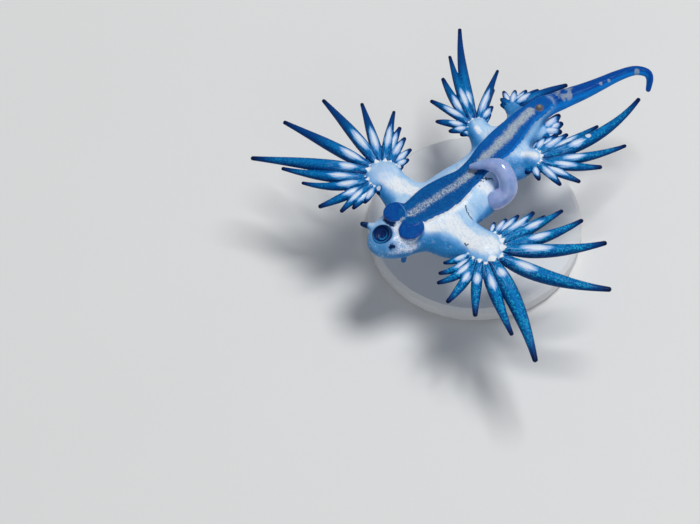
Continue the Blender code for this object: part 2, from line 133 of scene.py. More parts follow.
# Everted reproductive organ, from the right flank over to the sole: x, y, z, radius.
ORGAN = (
    (2.75, -1.70, -1.90, 0.88),
    (3.35, -1.28, -1.65, 0.97),
    (4.04, -0.78, -1.20, 0.99),
    (4.31, 0.23, -0.50, 0.97),
    (3.88, 0.70, 0.30, 0.95),
    (3.14, 0.94, 0.80, 0.94),
    (2.27, 0.89, 1.05, 0.87),
    (1.16, 0.18, 0.95, 0.56),
    (0.60, -0.49, 0.78, 0.40),
    (0.25, -0.89, 0.65, 0.28),
)

# Each fan: its arm rows (x, y, z, half width, half height), the radius of its knob's rim, and its
# cerata: bearing on the rim, bearing and reach of the tip, bow to its left, and where its silvery
# patch starts and ends as shares of its length.
FANS = {
    "front_left": (
        ((-0.8, -7.3, -2.0, 2.70, 1.45), (-3.2, -7.4, -1.75, 2.05, 1.30), (-4.6, -7.45, -1.45, 1.80, 1.02),
         (-5.8, -7.5, -1.15, 1.72, 0.80)),
        1.80,
        ((80, 80, 2.4, 0.0, 0.3, 0.9), (89, 87, 3.4, 0.0, 0.3, 0.9), (98, 98, 4.5, 0.1, 0.3, 0.9),
         (107, 113, 5.4, 0.1, 0.32, 0.88), (117, 122, 6.5, 0.2, 0.35, 0.86),
         (129, 130, 8.4, 0.1, 0.26, 0.72), (143, 151, 9.6, 0.0, 0.19, 0.60),
         (160, 170, 11.6, -0.1, 0.18, 0.51), (182, 193, 12.4, 0.0, 0.13, 0.39),
         (207, 217, 13.7, 0.0, 0.11, 0.28), (236, 221, 10.4, 0.45, 0.21, 0.49),
         (253, 232, 8.3, 0.7, 0.20, 0.52), (263, 257, 7.5, 0.15, 0.27, 0.58),
         (272, 273, 6.1, -0.1, 0.32, 0.76), (280, 280, 5.0, 0.0, 0.3, 0.8),
         (288, 288, 3.8, 0.0, 0.3, 0.9), (298, 308, 2.25, 0.0, 0.3, 0.9)),
    ),
    "front_right": (
        ((1.2, -7.0, -2.2, 3.40, 1.75), (4.0, -6.8, -1.9, 2.75, 1.50), (6.0, -6.2, -1.45, 2.12, 1.10),
         (7.66, -5.8, -1.15, 1.85, 0.82)),
        1.90,
        ((118, 122, 3.4, 0.0, 0.3, 0.9), (109, 108, 4.3, 0.0, 0.3, 0.9), (100, 99, 5.4, 0.0, 0.3, 0.9),
         (91, 91, 6.8, -0.2, 0.3, 0.86), (82, 82, 7.4, -0.15, 0.29, 0.78),
         (71, 80, 9.3, -0.25, 0.39, 0.69), (60, 69, 10.6, -0.6, 0.33, 0.60),
         (43, 53, 12.3, -0.7, 0.18, 0.51), (14, 28, 13.4, -0.85, 0.17, 0.39),
         (-20, -22, 14.1, 0.45, 0.13, 0.24), (-47, -28, 10.5, -0.2, 0.22, 0.46),
         (-66, -50, 8.1, -0.15, 0.30, 0.52), (-81, -74, 7.5, 0.3, 0.35, 0.59),
         (-92, -93, 6.4, 0.7, 0.25, 0.62), (-102, -101, 5.6, 0.5, 0.2, 0.65),
         (-112, -111, 4.6, 0.3, 0.25, 0.7), (-123, -127, 3.2, 0.0, 0.2, 0.9),
         (-136, -148, 2.5, 0.0, 0.2, 0.9)),
    ),
    "middle_left": (
        ((-0.8, 3.4, -1.8, 2.00, 1.25), (-2.2, 3.5, -1.7, 1.65, 1.15), (-3.1, 3.55, -1.45, 1.35, 0.95),
         (-3.85, 3.6, -1.1, 1.12, 0.65)),
        1.00,
        ((82, 100, 2.3, 0.0, 0.3, 0.85), (96, 107, 3.2, 0.0, 0.3, 0.85), (110, 118, 5.3, 0.15, 0.3, 0.8),
         (129, 121, 7.8, 0.05, 0.15, 0.60), (156, 145, 13.0, 0.4, 0.17, 0.33),
         (178, 154, 9.7, 0.2, 0.20, 0.50), (198, 166, 7.3, 0.25, 0.27, 0.63),
         (222, 191, 5.9, -0.1, 0.23, 0.73), (240, 216, 4.3, -0.1, 0.27, 0.67),
         (255, 236, 2.9, 0.0, 0.3, 0.8), (270, 256, 1.9, 0.0, 0.3, 0.8)),
    ),
    "middle_right": (
        ((0.3, 3.7, -1.9, 2.50, 1.35), (1.6, 3.95, -1.85, 2.15, 1.25), (2.35, 4.55, -1.6, 1.65, 1.00),
         (2.85, 5.15, -1.1, 1.12, 0.68)),
        1.00,
        ((137, 122, 2.5, 0.0, 0.3, 0.85), (121, 112, 3.2, 0.0, 0.3, 0.85), (107, 101, 4.0, 0.0, 0.3, 0.85),
         (92, 90, 4.9, 0.0, 0.3, 0.85), (72, 81, 8.1, -0.1, 0.28, 0.66), (48, 84, 13.7, -1.3, 0.25, 0.40),
         (25, 60, 9.8, -0.6, 0.28, 0.54), (5, 42, 7.1, -0.35, 0.26, 0.64), (-12, 19, 5.5, 0.0, 0.26, 0.76),
         (-28, 0, 4.2, 0.1, 0.28, 0.84), (-48, -28, 2.6, 0.0, 0.3, 0.88), (-68, -60, 1.9, 0.0, 0.0, 0.0)),
    ),
    "rear_left": (
        ((-1.2, 7.6, -1.4, 1.10, 0.80), (-2.5, 7.8, -1.40, 0.85, 0.65), (-3.4, 8.0, -1.3, 0.62, 0.36)),
        0.60,
        ((58, 76, 6.6, 0.15, 0.0, 0.0), (92, 88, 3.7, 0.0, 0.2, 0.7), (120, 103, 2.8, 0.0, 0.1, 0.85),
         (146, 127, 2.3, 0.0, 0.1, 0.85), (168, 158, 2.3, 0.0, 0.1, 0.95), (196, 180, 1.6, 0.0, 0.0, 0.0),
         (218, 205, 1.2, 0.0, 0.0, 0.0)),
    ),
    "rear_right": (
        ((-0.3, 6.2, -2.0, 0.90, 0.80), (0.3, 7.4, -2.1, 0.85, 0.75), (0.6, 8.5, -2.1, 0.75, 0.52)),
        0.55,
        ((125, 114, 2.0, 0.0, 0.1, 0.8), (94, 100, 3.1, 0.0, 0.2, 0.85), (62, 80, 2.6, 0.0, 0.1, 0.95),
         (32, 55, 2.1, 0.0, 0.1, 0.9), (2, 30, 1.8, 0.0, 0.2, 0.85), (-25, -10, 1.5, 0.0, 0.0, 0.0)),
    ),
}
# The widest part of a ceras: the slimmest, and what each millimetre of length adds, fan by fan.
CERAS_WIDTHS = {
    "front_left": (0.60, 0.068),
    "front_right": (0.42, 0.103),
    "middle_left": (0.70, 0.040),
    "middle_right": (0.70, 0.050),
    "rear_left": (0.62, 0.060),
    "rear_right": (0.92, 0.050),
}
# Ceras outline: share of its length, share of its widest half width.
LONG_OUTLINE = ((0.0, 0.50), (0.14, 0.84), (0.30, 1.0), (0.52, 0.88), (0.76, 0.58), (0.90, 0.41), (1.0, 0.31))
MIDDLE_OUTLINE = ((0.0, 0.50), (0.18, 0.80), (0.38, 1.0), (0.62, 0.90), (0.84, 0.62), (1.0, 0.40))
SHORT_OUTLINE = ((0.0, 0.50), (0.20, 0.82), (0.42, 1.0), (0.76, 0.80), (1.0, 0.38))
LONG_CERAS = 7.0
SHORT_CERAS = 4.2
THINNEST = 0.17
CERAS_SINK = 0.58
CERAS_DROOP = 0.045
CERAS_LAYER = 0.16
CERAS_HEIGHT = 0.85
CERAS_STEPS = 26
# How dark the outer part of each fan's first cerata is, and how many these are; then the others.
DUSK = {
    "front_left": (9, 1.0, 0.20),
    "front_right": (3, 0.5, 0.12),
    "middle_left": (5, 1.0, 0.5),
    "middle_right": (4, 0.5, 0.3),
    "rear_left": (2, 1.0, 0.6),
    "rear_right": (6, 0.4, 0.4),
}
# How much each fan's cerata glitter.
GLITTER = {
    "front_left": 0.45,
    "front_right": 1.0,
    "middle_left": 0.35,
    "middle_right": 0.7,
    "rear_left": 0.3,
    "rear_right": 0.3,
}

# Where two neighbours flow into each other, over what distance.
BLEND_HEAD = 0.8
BLEND_ARM = 0.9
BLEND_KNOB = 0.45
BLEND_FEELER = 0.3
BLEND_CERATA = 0.07
BLEND_ROOT = 0.22
BLEND_SOLE = 0.25
BLEND_LOBE = 0.35
BLEND_CREASE = 0.05
BLEND_SOCKET = 0.16
# How far round a shape its field is worked out.
BODY_REACH = 1.1
ARM_REACH = 1.2
OVAL_REACH = 0.6
THIN_REACH = 0.5
CERAS_REACH = 0.35
# Steps between two rows of a table.
BODY_PER_SPAN = 6
HEAD_PER_SPAN = 5
SOLE_PER_SPAN = 4
OUTLINE_PER_SPAN = 8
# A point is beside a step of a tube, and not past its end, if it is nearer to it than this.
BESIDE = 0.001
# Keeps a division by a slope from failing where the slope is nothing.
TINY = 1e-4
# The two passes of each smoothing round: inwards, then outwards again.
SMOOTHING_SHARES = (0.5, -0.52)


# Fields: how far every point of a grid is from a shape.

class Grid:
    """Evenly spaced points in a box."""

    def __init__(self, low, high, cell):
        self.cell = cell
        self.low = np.array(low, np.float32)
        self.shape = tuple(int((b - a) / cell) + 2 for a, b in zip(low, high))
        self.axes = [(a + cell * np.arange(n)).astype(np.float32) for a, n in zip(low, self.shape)]

    def field(self):
        return np.full(self.shape, FAR, np.float32)

    def window(self, low, high):
        """Slices that hold the points between two corners."""
        first = np.floor((np.asarray(low) - self.low) / self.cell).astype(int)
        last = np.ceil((np.asarray(high) - self.low) / self.cell).astype(int) + 1
        return tuple(slice(max(a, 0), min(b, n)) for a, b, n in zip(first, last, self.shape))

    def points(self, window):
        x, y, z = (axis[part] for axis, part in zip(self.axes, window))
        return x[:, None, None], y[None, :, None], z[None, None, :]

    def sample(self, field, places):
        """The field between its points, for many places."""
        spot = (places - self.low) / self.cell
        base = np.clip(np.floor(spot).astype(int), 0, np.array(self.shape) - 2)
        share = spot - base
        total = 0
        for corner in np.ndindex(2, 2, 2):
            weight = np.prod(np.where(corner, share, 1 - share), axis=1)
            total = total + weight * field[tuple((base + corner).T)]
        return total

    def slope(self, field, places):
        """The direction in which the field grows at many places."""
        result = []
        for axis in np.eye(3) * self.cell:
            result.append(self.sample(field, places + axis) - self.sample(field, places - axis))
        result = np.stack(result, axis=1)
        return result / np.maximum(np.linalg.norm(result, axis=1, keepdims=True), 1e-6)


def smooth_min(first, second, blend):
    near = np.maximum(blend - np.abs(first - second), 0) / blend
    return np.minimum(first, second) - near * near * blend / 4


def smooth_max(first, second, blend):
    return -smooth_min(-first, -second, blend)


def curve_through(rows, per_span):
    """Rows on a smooth curve through the given rows, with per_span steps between each two."""
    padded = [rows[0]] + list(rows) + [rows[-1]]
    result = []
    for index in range(len(rows) - 1):
        before, start, end, after = (np.array(row, float) for row in padded[index : index + 4])
        for step in range(per_span):
            t = step / per_span
            bend = (2 * before - 5 * start + 4 * end - after) * t**2
            bend = bend + (3 * start - before - 3 * end + after) * t**3
            result.append(0.5 * (2 * start + (end - before) * t + bend))
    result.append(np.array(rows[-1], float))
    return np.array(result)


class Tube:
    """Ovals along a line. Each row holds a place, a half width and a half height."""

    def __init__(self, rows):
        self.rows = np.asarray(rows, float)
        self.centres = self.rows[:, :3]
        self.steps = np.diff(self.centres, axis=0)
        lengths = np.linalg.norm(self.steps, axis=1)
        self.runs = np.concatenate([[0], np.cumsum(lengths)])
        self.alongs = self.steps / lengths[:, None]
        asides = np.cross(self.alongs, (0, 0, 1))
        self.asides = asides / np.maximum(np.linalg.norm(asides, axis=1, keepdims=True), 0.05)
        self.upwards = np.cross(self.asides, self.alongs)

    def place(self, points, index):
        """Where points lie against one step: share of the step, then across, up and past its end."""
        step = self.steps[index]
        start = self.centres[index]
        x, y, z = (p - s for p, s in zip(points, start.astype(np.float32)))
        share = (x * step[0] + y * step[1] + z * step[2]) / float(step @ step)
        share = np.clip(share, 0, 1).astype(np.float32)
        offset = [p - share * s for p, s in zip((x, y, z), step.astype(np.float32))]
        axes = [axis[index].astype(np.float32) for axis in (self.asides, self.upwards, self.alongs)]
        return share, [sum(p * a for p, a in zip(offset, axis)) for axis in axes]

    def halves(self, index, share):
        first, second = self.rows[index, 3:5], self.rows[index + 1, 3:5]
        return [np.float32(a) + share * np.float32(b - a) for a, b in zip(first, second)]

    def distance(self, points, index):
        share, (u, v, w) = self.place(points, index)
        half_width, half_height = self.halves(index, share)
        return oval_distance(u / half_width, v / half_height, w / half_height, half_width, half_height)

    def box(self, index, reach):
        ends = self.centres[index : index + 2]
        size = self.rows[index : index + 2, 3:5].max() + reach
        return ends.min(axis=0) - size, ends.max(axis=0) + size

    def whole_box(self, reach):
        size = self.rows[:, 3:5].max() + reach
        return self.centres.min(axis=0) - size, self.centres.max(axis=0) + size


def oval_distance(u, v, w, half_width, half_height):
    """About how far a point is from an oval, from its offsets as shares of the half sizes."""
    reach = np.sqrt(u * u + v * v + w * w)
    slope = np.sqrt((u / half_width) ** 2 + (v / half_height) ** 2 + (w / half_height) ** 2)
    return reach * (reach - 1) / np.maximum(slope, TINY)


def rounded_edge(across, up, edge):
    """How far points are from a slab with round edges, from how far they are past its sides and faces."""
    outside = np.sqrt(np.maximum(across, 0) ** 2 + np.maximum(up, 0) ** 2)
    return outside + np.minimum(np.maximum(across, up), 0) - edge


def slab_distance(tube, points, index):
    """How far points are from a step of a flat slab with rounded edges."""
    share, (u, v, w) = tube.place(points, index)
    half_width, half_height = tube.halves(index, share)
    across = np.sqrt(u * u + w * w) - (half_width - SOLE_EDGE)
    return rounded_edge(across, np.abs(v) - (half_height - SOLE_EDGE), SOLE_EDGE)


def socket_distance(tube, points, index):
    """How far points are from a plain cylinder."""
    _, (u, v, w) = tube.place(points, index)
    aside = np.sqrt(u * u + v * v) - MOUTH_SOCKET_RADIUS
    return np.where(np.abs(w) < BESIDE, aside, np.hypot(np.maximum(aside, 0), w))


def add_tube(grid, field, tube, blend, reach, measure=None):
    """Joins a tube to a field, flowing into it over the blend distance."""
    window = grid.window(*tube.whole_box(reach))
    own = np.full(tuple(part.stop - part.start for part in window), FAR, np.float32)
    for index in range(len(tube.steps)):
        part = grid.window(*tube.box(index, reach))
        points = grid.points(part)
        found = measure(tube, points, index) if measure else tube.distance(points, index)
        inner = tuple(slice(a.start - b.start, a.stop - b.start) for a, b in zip(part, window))
        own[inner] = np.minimum(own[inner], found)
    field[window] = smooth_min(field[window], own, blend)


def add_oval(grid, field, centre, halves, blend, edge=None):
    """Joins an egg shape to a field, or with an edge a flat pad that is oval from above."""
    centre, halves = np.array(centre), np.array(halves)
    window = grid.window(centre - halves - OVAL_REACH, centre + halves + OVAL_REACH)
    offsets = [p - c for p, c in zip(grid.points(window), centre)]
    measured = list(zip(offsets, halves))
    if edge is not None:
        measured = measured[:2]
    share = np.sqrt(sum((o / h) ** 2 for o, h in measured))
    slope = np.sqrt(sum((o / h**2) ** 2 for o, h in measured))
    found = share * (share - 1) / np.maximum(slope, TINY)
    if edge is not None:
        found = rounded_edge(found + edge, np.abs(offsets[2]) - (halves[2] - edge), edge)
    field[window] = smooth_min(field[window], found.astype(np.float32), blend)


def bearing(degrees):
    angle = math.radians(degrees)
    return np.array((math.cos(angle), math.sin(angle), 0.0))


def outline_at(outline, share):
    """Width share on a smooth line through an outline."""
    smooth = curve_through(outline, OUTLINE_PER_SPAN)
    return np.interp(share, smooth[:, 0], smooth[:, 1])


def ceras_tube(fan, centre, rim_radius, ceras, order):
    """One ceras, from inside the knob's rim to its round tip."""
    rim_bearing, tip_bearing, reach, bow = ceras[:4]
    start = centre + bearing(rim_bearing) * (rim_radius - CERAS_SINK)
    tip = centre + bearing(tip_bearing) * reach
    length = np.linalg.norm(tip - start)
    left = np.cross((0, 0, 1), (tip - start) / length)
    bend = (start + tip) / 2 + left * 2 * bow
    tip = tip - np.array((0, 0, CERAS_DROOP * length))
    layer = np.array((0, 0, CERAS_LAYER * (1 if order % 2 else -1)))
    slimmest, per_length = CERAS_WIDTHS[fan]
    widest = (slimmest + per_length * length) / 2
    outline = LONG_OUTLINE if length > LONG_CERAS else MIDDLE_OUTLINE
    if length < SHORT_CERAS:
        outline = SHORT_OUTLINE
    last = 1 - widest * outline[-1][1] / length
    rows = []
    for t in np.linspace(0, last, CERAS_STEPS):
        place = start * (1 - t) ** 2 + bend * 2 * t * (1 - t) + tip * t**2 + layer * (1 - t)
        half = max(widest * outline_at(outline, t), THINNEST)
        rows.append((*place, half, half * CERAS_HEIGHT))
    return Tube(rows)


def all_cerata():
    """Every ceras: its tube, its fan, its row in the table and a number of its own."""
    result = []
    for fan, (arm_rows, rim_radius, cerata) in FANS.items():
        centre = np.array(arm_rows[-1][:3])
        for order, ceras in enumerate(cerata):
            result.append((ceras_tube(fan, centre, rim_radius, ceras, order), fan, order, ceras))
    return result


def spine_tube():
    return Tube(curve_through(SPINE, BODY_PER_SPAN))


def sole_tube():
    flat = [(x, y, -SOLE_HALF_HEIGHT, half_width, SOLE_HALF_HEIGHT) for x, y, half_width in SOLE]
    return Tube(curve_through(flat, SOLE_PER_SPAN))


def grow_body(grid):
    """The field of the trunk, tail, head, arms with their knobs, and feelers."""
    body = grid.field()
    add_tube(grid, body, spine_tube(), BLEND_HEAD, BODY_REACH)
    add_tube(grid, body, Tube(curve_through(HEAD, HEAD_PER_SPAN)), BLEND_HEAD, BODY_REACH)
    for arm_rows, rim_radius, _ in FANS.values():
        add_tube(grid, body, Tube(curve_through(arm_rows, BODY_PER_SPAN)), BLEND_ARM, ARM_REACH)
        halves = (rim_radius, rim_radius, arm_rows[-1][4])
        add_oval(grid, body, arm_rows[-1][:3], halves, BLEND_KNOB)
    for rows in FEELERS.values():
        rows = [(*row, row[-1]) for row in rows]
        add_tube(grid, body, Tube(curve_through(rows, BODY_PER_SPAN)), BLEND_FEELER, THIN_REACH)
    return body


def grow_foot(grid):
    """The field of the sole, its two lobes and the bead at its end."""
    foot = grid.field()
    add_tube(grid, foot, sole_tube(), BLEND_SOLE, THIN_REACH, slab_distance)
    lobes = grid.field()
    for x, y, half_width, half_length in LOBES:
        halves = (half_width, half_length, LOBE_HALF_HEIGHT)
        add_oval(grid, lobes, (x, y, LOBE_RISE - LOBE_HALF_HEIGHT), halves, BLEND_CREASE, LOBE_EDGE)
    x, y, radius = BRONZE_BEAD
    add_oval(grid, foot, (x, y, 0.0), (radius, radius, radius), BLEND_CREASE)
    return smooth_min(foot, lobes, BLEND_LOBE)


def mouth_socket(grid):
    """The field of the round hole that the mouth lies in."""
    facing = np.array(MOUTH_FACING) / np.linalg.norm(MOUTH_FACING)
    back = np.array(MOUTH_CENTRE) - facing * MOUTH_SOCKET_DEPTH
    front = np.array(MOUTH_CENTRE) + facing
    rows = [(*end, MOUTH_SOCKET_RADIUS, MOUTH_SOCKET_RADIUS) for end in (back, front)]
    socket = grid.field()
    add_tube(grid, socket, Tube(rows), BLEND_CREASE, OVAL_REACH, socket_distance)
    return socket


def grow_fields(grid):
    """Fields of the body with its arms, the cerata, and the whole animal as one."""
    body = grow_body(grid)
    cerata = grid.field()
    for tube, *_ in all_cerata():
        add_tube(grid, cerata, tube, BLEND_CERATA, CERAS_REACH)
    whole = smooth_min(body, cerata, BLEND_ROOT)
    whole = smooth_min(whole, grow_foot(grid), BLEND_SOLE)
    whole = smooth_max(whole, -mouth_socket(grid), BLEND_SOCKET)
    return {"body": body, "cerata": cerata, "whole": whole}


# From a field to a mesh.

def surface(grid, field):
    """Points and four-sided faces where the field is zero."""
    inside = field < 0
    sizes = [n - 1 for n in grid.shape]
    count = np.zeros(sizes, np.uint8)
    for corner in np.ndindex(2, 2, 2):
        count += inside[tuple(slice(c, c + n) for c, n in zip(corner, sizes))]
    cells = np.argwhere((count > 0) & (count < 8))
    number = np.full(sizes, -1, np.int32)
    number[tuple(cells.T)] = np.arange(len(cells))
    places = np.zeros(cells.shape)
    crossings = np.zeros(len(cells))
    for corner in np.ndindex(2, 2, 2):
        for axis in range(3):
            if corner[axis]:
                continue
            other = list(corner)
            other[axis] = 1
            first = field[tuple((cells + corner).T)]
            second = field[tuple((cells + other).T)]
            crossed = (first < 0) != (second < 0)
            spot = (cells[crossed] + corner).astype(float)
            spot[:, axis] += first[crossed] / (first[crossed] - second[crossed])
            places[crossed] += spot
            crossings += crossed
    points = grid.low + places / crossings[:, None] * grid.cell
    return points, net_faces(inside, number)


def net_faces(inside, number):
    """A face round every grid edge that the surface crosses, turned outwards."""
    faces = []
    for axis in range(3):
        across, over = (axis + 1) % 3, (axis + 2) % 3
        lower = [slice(None)] * 3
        upper = [slice(None)] * 3
        lower[axis], upper[axis] = slice(0, -1), slice(1, None)
        from_inside = inside[tuple(lower)]
        edges = np.argwhere(from_inside != inside[tuple(upper)])
        ring = []
        for step_across, step_over in ((0, 0), (-1, 0), (-1, -1), (0, -1)):
            cell = edges.copy()
            cell[:, across] += step_across
            cell[:, over] += step_over
            ring.append(number[tuple(cell.T)])
        ring = np.stack(ring, axis=1)
        outward = from_inside[tuple(edges.T)]
        ring[~outward] = ring[~outward][:, ::-1]
        faces.append(ring)
    return np.concatenate(faces)


def relax(points, faces, rounds):
    """Evens out the small steps of the grid without shrinking the shape."""
    first, second = faces.ravel(), np.roll(faces, -1, axis=1).ravel()
    total = len(points)
    degree = np.bincount(first, minlength=total) + np.bincount(second, minlength=total)
    for _ in range(rounds):
        for share in SMOOTHING_SHARES:
            mean = np.empty_like(points)
            for axis in range(3):
                values = points[:, axis]
                mean[:, axis] = np.bincount(first, values[second], total)
                mean[:, axis] += np.bincount(second, values[first], total)
            points = points + share * (mean / degree[:, None] - points)
    return points


def add_mesh(name, points, faces, material, values=None):
    """A smooth mesh object in metres, with a number for each point in every named value."""
    mesh = bpy.data.meshes.new(name)
    placed = (np.asarray(points) + (0, 0, SOLE_Z)) * MM
    sides = faces.shape[1]
    mesh.vertices.add(len(placed))
    mesh.vertices.foreach_set("co", placed.astype(np.float32).ravel())
    mesh.loops.add(faces.size)
    mesh.loops.foreach_set("vertex_index", faces.astype(np.int32).ravel())
    mesh.polygons.add(len(faces))
    mesh.polygons.foreach_set("loop_start", np.arange(0, faces.size, sides, dtype=np.int32))
    mesh.update(calc_edges=True)
    mesh.validate()
    mesh.shade_smooth()
    for key, numbers in (values or {}).items():
        layer = mesh.attributes.new(key, "FLOAT", "POINT")
        layer.data.foreach_set("value", np.asarray(numbers, np.float32))
    mesh.materials.append(material)
    return add_object(name, mesh)


def add_object(name, data):
    obj = bpy.data.objects.new(name, data)
    bpy.context.scene.collection.objects.link(obj)
    return obj


# Numbers on the skin that its material paints by.

# How near the skin has to be to a part to get that part's numbers.
SOLE_NEAR = 3.5
TAIL_NEAR = 1.0
CERAS_NEAR = 0.4
# A number for the rest of the skin.
AWAY = 9.0
# Only skin above this height is painted as the foot.
SOLE_SIDE = -0.45
# Only this far up a ceras, of 1 at its top, does its patch show.
PATCH_SIDE = -0.1
# The less this power, the more pointed a patch is.
PATCH_POINT = 1.3
# How far apart the fibres of neighbouring cerata are taken from their noise.
FIBRE_STEP = 5
# Share of a ceras's width that its patch takes, for a short and for a long one.
PATCH_LENGTHS = (3.0, 9.0)
PATCH_WIDTHS = (0.88, 0.64)
# A ceras without a patch has one this small at its root.
NO_PATCH = 0.01
# How much more the skin's front side counts as a flank, so that painted shade darkens it.
FRONT_LEAN = 0.22
# How far the small white teeth round each knob reach out on the cerata.
TOOTH_REACH = {
    "front_left": 0.76,
    "front_right": 0.90,
    "middle_left": 0.70,
    "middle_right": 0.80,
    "rear_left": 0.0,
    "rear_right": 0.0,
}
# Pale blotches on the tail: x, y, radius, and the radius of the blue middle of a ring.
BLOTCHES = (
    (-0.85, 10.72, 0.70, 0.0),
    (-0.70, 12.75, 1.05, 0.34),
    (1.05, 16.30, 0.22, 0.0),
    (1.30, 17.20, 0.20, 0.0),
    (2.50, 20.00, 0.30, 0.0),
)
# The bronze bead where the sole ends: x, y, radius.
BRONZE_BEAD = (-0.83, 9.45, 0.36)
# Fine dark marks on the right flank and arm, as bent lines: x, y of their corners.
MARKS = (
    ((0.72, -0.92), (0.92, -0.80)),
    ((1.30, -1.25), (1.42, -1.08)),
    ((1.59, -0.76), (1.78, -0.50), (2.00, -0.12)),
    ((1.94, -0.47), (2.07, -0.04), (2.32, 0.14)),
    ((1.72, -1.02), (1.90, -0.84)),
    ((2.05, -1.53), (2.10, -1.49)),
    ((6.10, -7.22), (6.30, -7.32), (6.44, -7.06)),
    ((2.75, -4.03), (3.05, -4.26), (3.43, -4.38), (4.34, -4.46)),
)
# The silvery band across the head, from between the lobes to the right cheek.
CROWN = (((0.05, -11.1), (0.70, -11.7), (1.60, -12.5), (2.30, -11.9), (2.55, -11.2)),)
# Small pale warts with a dark ring, on the arms and on one long ceras: x, y, radius.
WARTS = (
    (-4.79, -9.00, 0.34),
    (-5.45, -5.60, 0.30),
    (4.70, 11.10, 0.50),
)
# Painted white highlights along the tops of the arms and the right flank, as lines with a radius.
HIGHLIGHT_LINES = (
    ((2.00, -8.10), (2.80, -6.40), 1.60),
    ((2.30, -5.87), (1.90, -3.40), 0.95),
    ((2.80, -6.60), (6.45, -6.50), 1.25),
    ((6.60, -6.50), (8.00, -5.60), 1.45),
    ((-5.10, -7.90), (-2.88, -7.10), 1.10),
    ((-2.88, -7.10), (-1.90, -6.72), 0.90),
    ((1.60, -1.30), (2.81, -1.00), 0.85),
    ((-3.45, 3.20), (-3.10, 3.15), 0.45),
    ((2.25, 4.70), (2.95, 5.15), 0.68),
)
# Painted shade: darker blue on the flanks under the arms and along the front and right edges of the head, as
# lines with a radius.
SHADED_FLANKS = (
    ((2.70, -10.40), (3.92, -9.20), 1.30),
    ((3.92, -9.20), (5.60, -8.50), 1.30),
    ((5.60, -8.50), (6.60, -8.10), 0.95),
    ((2.20, 3.00), (3.20, 3.90), 1.10),
    ((3.20, 3.90), (4.15, 4.29), 1.30),
    ((-4.95, 2.73), (-3.79, 2.30), 0.95),
    ((-3.79, 2.30), (-2.41, 2.00), 0.95),
    ((-4.72, -9.20), (-3.00, -9.40), 0.95),
    ((-2.30, 7.70), (-4.00, 7.90), 1.60),
    ((4.40, -1.90), (4.68, -2.83), 0.55),
    ((2.40, -12.60), (3.30, -11.60), 0.90),
    ((-0.60, -13.65), (0.73, -13.69), 0.75),
    ((0.73, -13.69), (1.70, -13.34), 0.80),
    ((1.70, -13.34), (2.68, -12.61), 0.80),
)
# Painted shadow in the dip between the mouth and the foot's lobes.
LOBE_SHADOW = (((-1.30, -11.12), (-0.80, -11.22), (-0.35, -11.18)),)
# Fine pale lines on the foot: the crease behind the left lobe, and the streak between the lobes.
CREASE = (((-1.65, -9.03), (-0.95, -9.12), (-0.30, -9.35), (0.05, -9.70)),)
CLEFT = (((0.05, -9.95), (-0.02, -10.45), (0.02, -11.10)),)
# How much more the front side of each arm counts as a flank, which darkens it with painted shade.
ARM_LEANS = {"front_left": 0.30, "front_right": 0.40, "middle_left": 0.30, "middle_right": 0.80}
ARM_LEAN_REACH = 2.6
# The fine grain of the skin runs along the arms, across the body, with this slant.
BRUSH_SLANT = -0.35


def tube_values(points, tube, reach):
    """For points near a tube: their numbers, distance, run along, across and up."""
    low, high = tube.whole_box(reach)
    chosen = np.flatnonzero(np.all((points >= low) & (points <= high), axis=1))
    near = [axis.astype(np.float32) for axis in points[chosen].T]
    best = np.full(len(chosen), np.inf, np.float32)
    run, across, up = (np.zeros(len(chosen), np.float32) for _ in range(3))
    for index in range(len(tube.steps)):
        share, (u, v, w) = tube.place(near, index)
        half_width, half_height = tube.halves(index, share)
        found = oval_distance(u / half_width, v / half_height, w / half_height, half_width, half_height)
        closer = found < best
        best = np.where(closer, found, best)
        length = tube.runs[index + 1] - tube.runs[index]
        run = np.where(closer, tube.runs[index] + share * length + w, run)
        across = np.where(closer, u / half_width, across)
        up = np.where(closer, v / half_height, up)
    return chosen, best, run, across, up


def ceras_values(points):
    """For points on the cerata: where on the nearest ceras they are, and what it is painted with."""
    best = np.full(len(points), np.inf)
    keys = ("ceras_t", "ceras_s", "ceras_v", "fibre_run", "fibre_off", "dusk", "glitter", "tooth")
    values = {key: np.zeros(len(points)) for key in keys}
    values["patch_in"] = np.full(len(points), -1.0)
    for tube, fan, order, ceras in all_cerata():
        found = tube_values(points, tube, CERAS_NEAR)
        closer = found[1] < best[found[0]]
        chosen, distance, run, across, up = (numbers[closer] for numbers in found)
        best[chosen] = distance
        share = run / tube.runs[-1]
        start, end = ceras[4:]
        middle, half = (start + end) / 2, max((end - start) / 2, NO_PATCH)
        patch_width = np.interp(tube.runs[-1], PATCH_LENGTHS, PATCH_WIDTHS)
        sideways = np.abs(across / patch_width) ** PATCH_POINT
        inside = 1 - np.sqrt(((share - middle) / half) ** 2 + sideways)
        off = across * np.interp(run, tube.runs, tube.rows[:, 3])
        dark_count, dark, pale = DUSK[fan]
        numbers = {
            "patch_in": np.where(up > PATCH_SIDE, inside, -1),
            "fibre_run": run,
            "fibre_off": off + FIBRE_STEP * order,
            "ceras_t": share,
            "ceras_s": across,
            "ceras_v": up,
            "dusk": dark if order < dark_count else pale,
            "glitter": GLITTER[fan],
            "tooth": TOOTH_REACH[fan] if end else 0.0,
        }
        for key, number in numbers.items():
            values[key][chosen] = number
    return values


def line_distance(points, start, end):
    """How far points are, seen from above, from a line between two places."""
    start, end = np.array(start), np.array(end)
    step = end - start
    share = np.clip((points[:, :2] - start) @ step / (step @ step), 0, 1)
    return np.linalg.norm(points[:, :2] - start - share[:, None] * step, axis=1)


def away(points, spots):
    """How far points are, seen from above, from the nearest of some round spots, in its radii."""
    found = [np.hypot(points[:, 0] - x, points[:, 1] - y) / radius for x, y, radius in spots]
    return np.minimum.reduce(found)


def spread(points, chosen, found, rest):
    """The numbers found for chosen points, and one number for the rest."""
    values = np.full(len(points), rest)
    values[chosen] = found
    return values


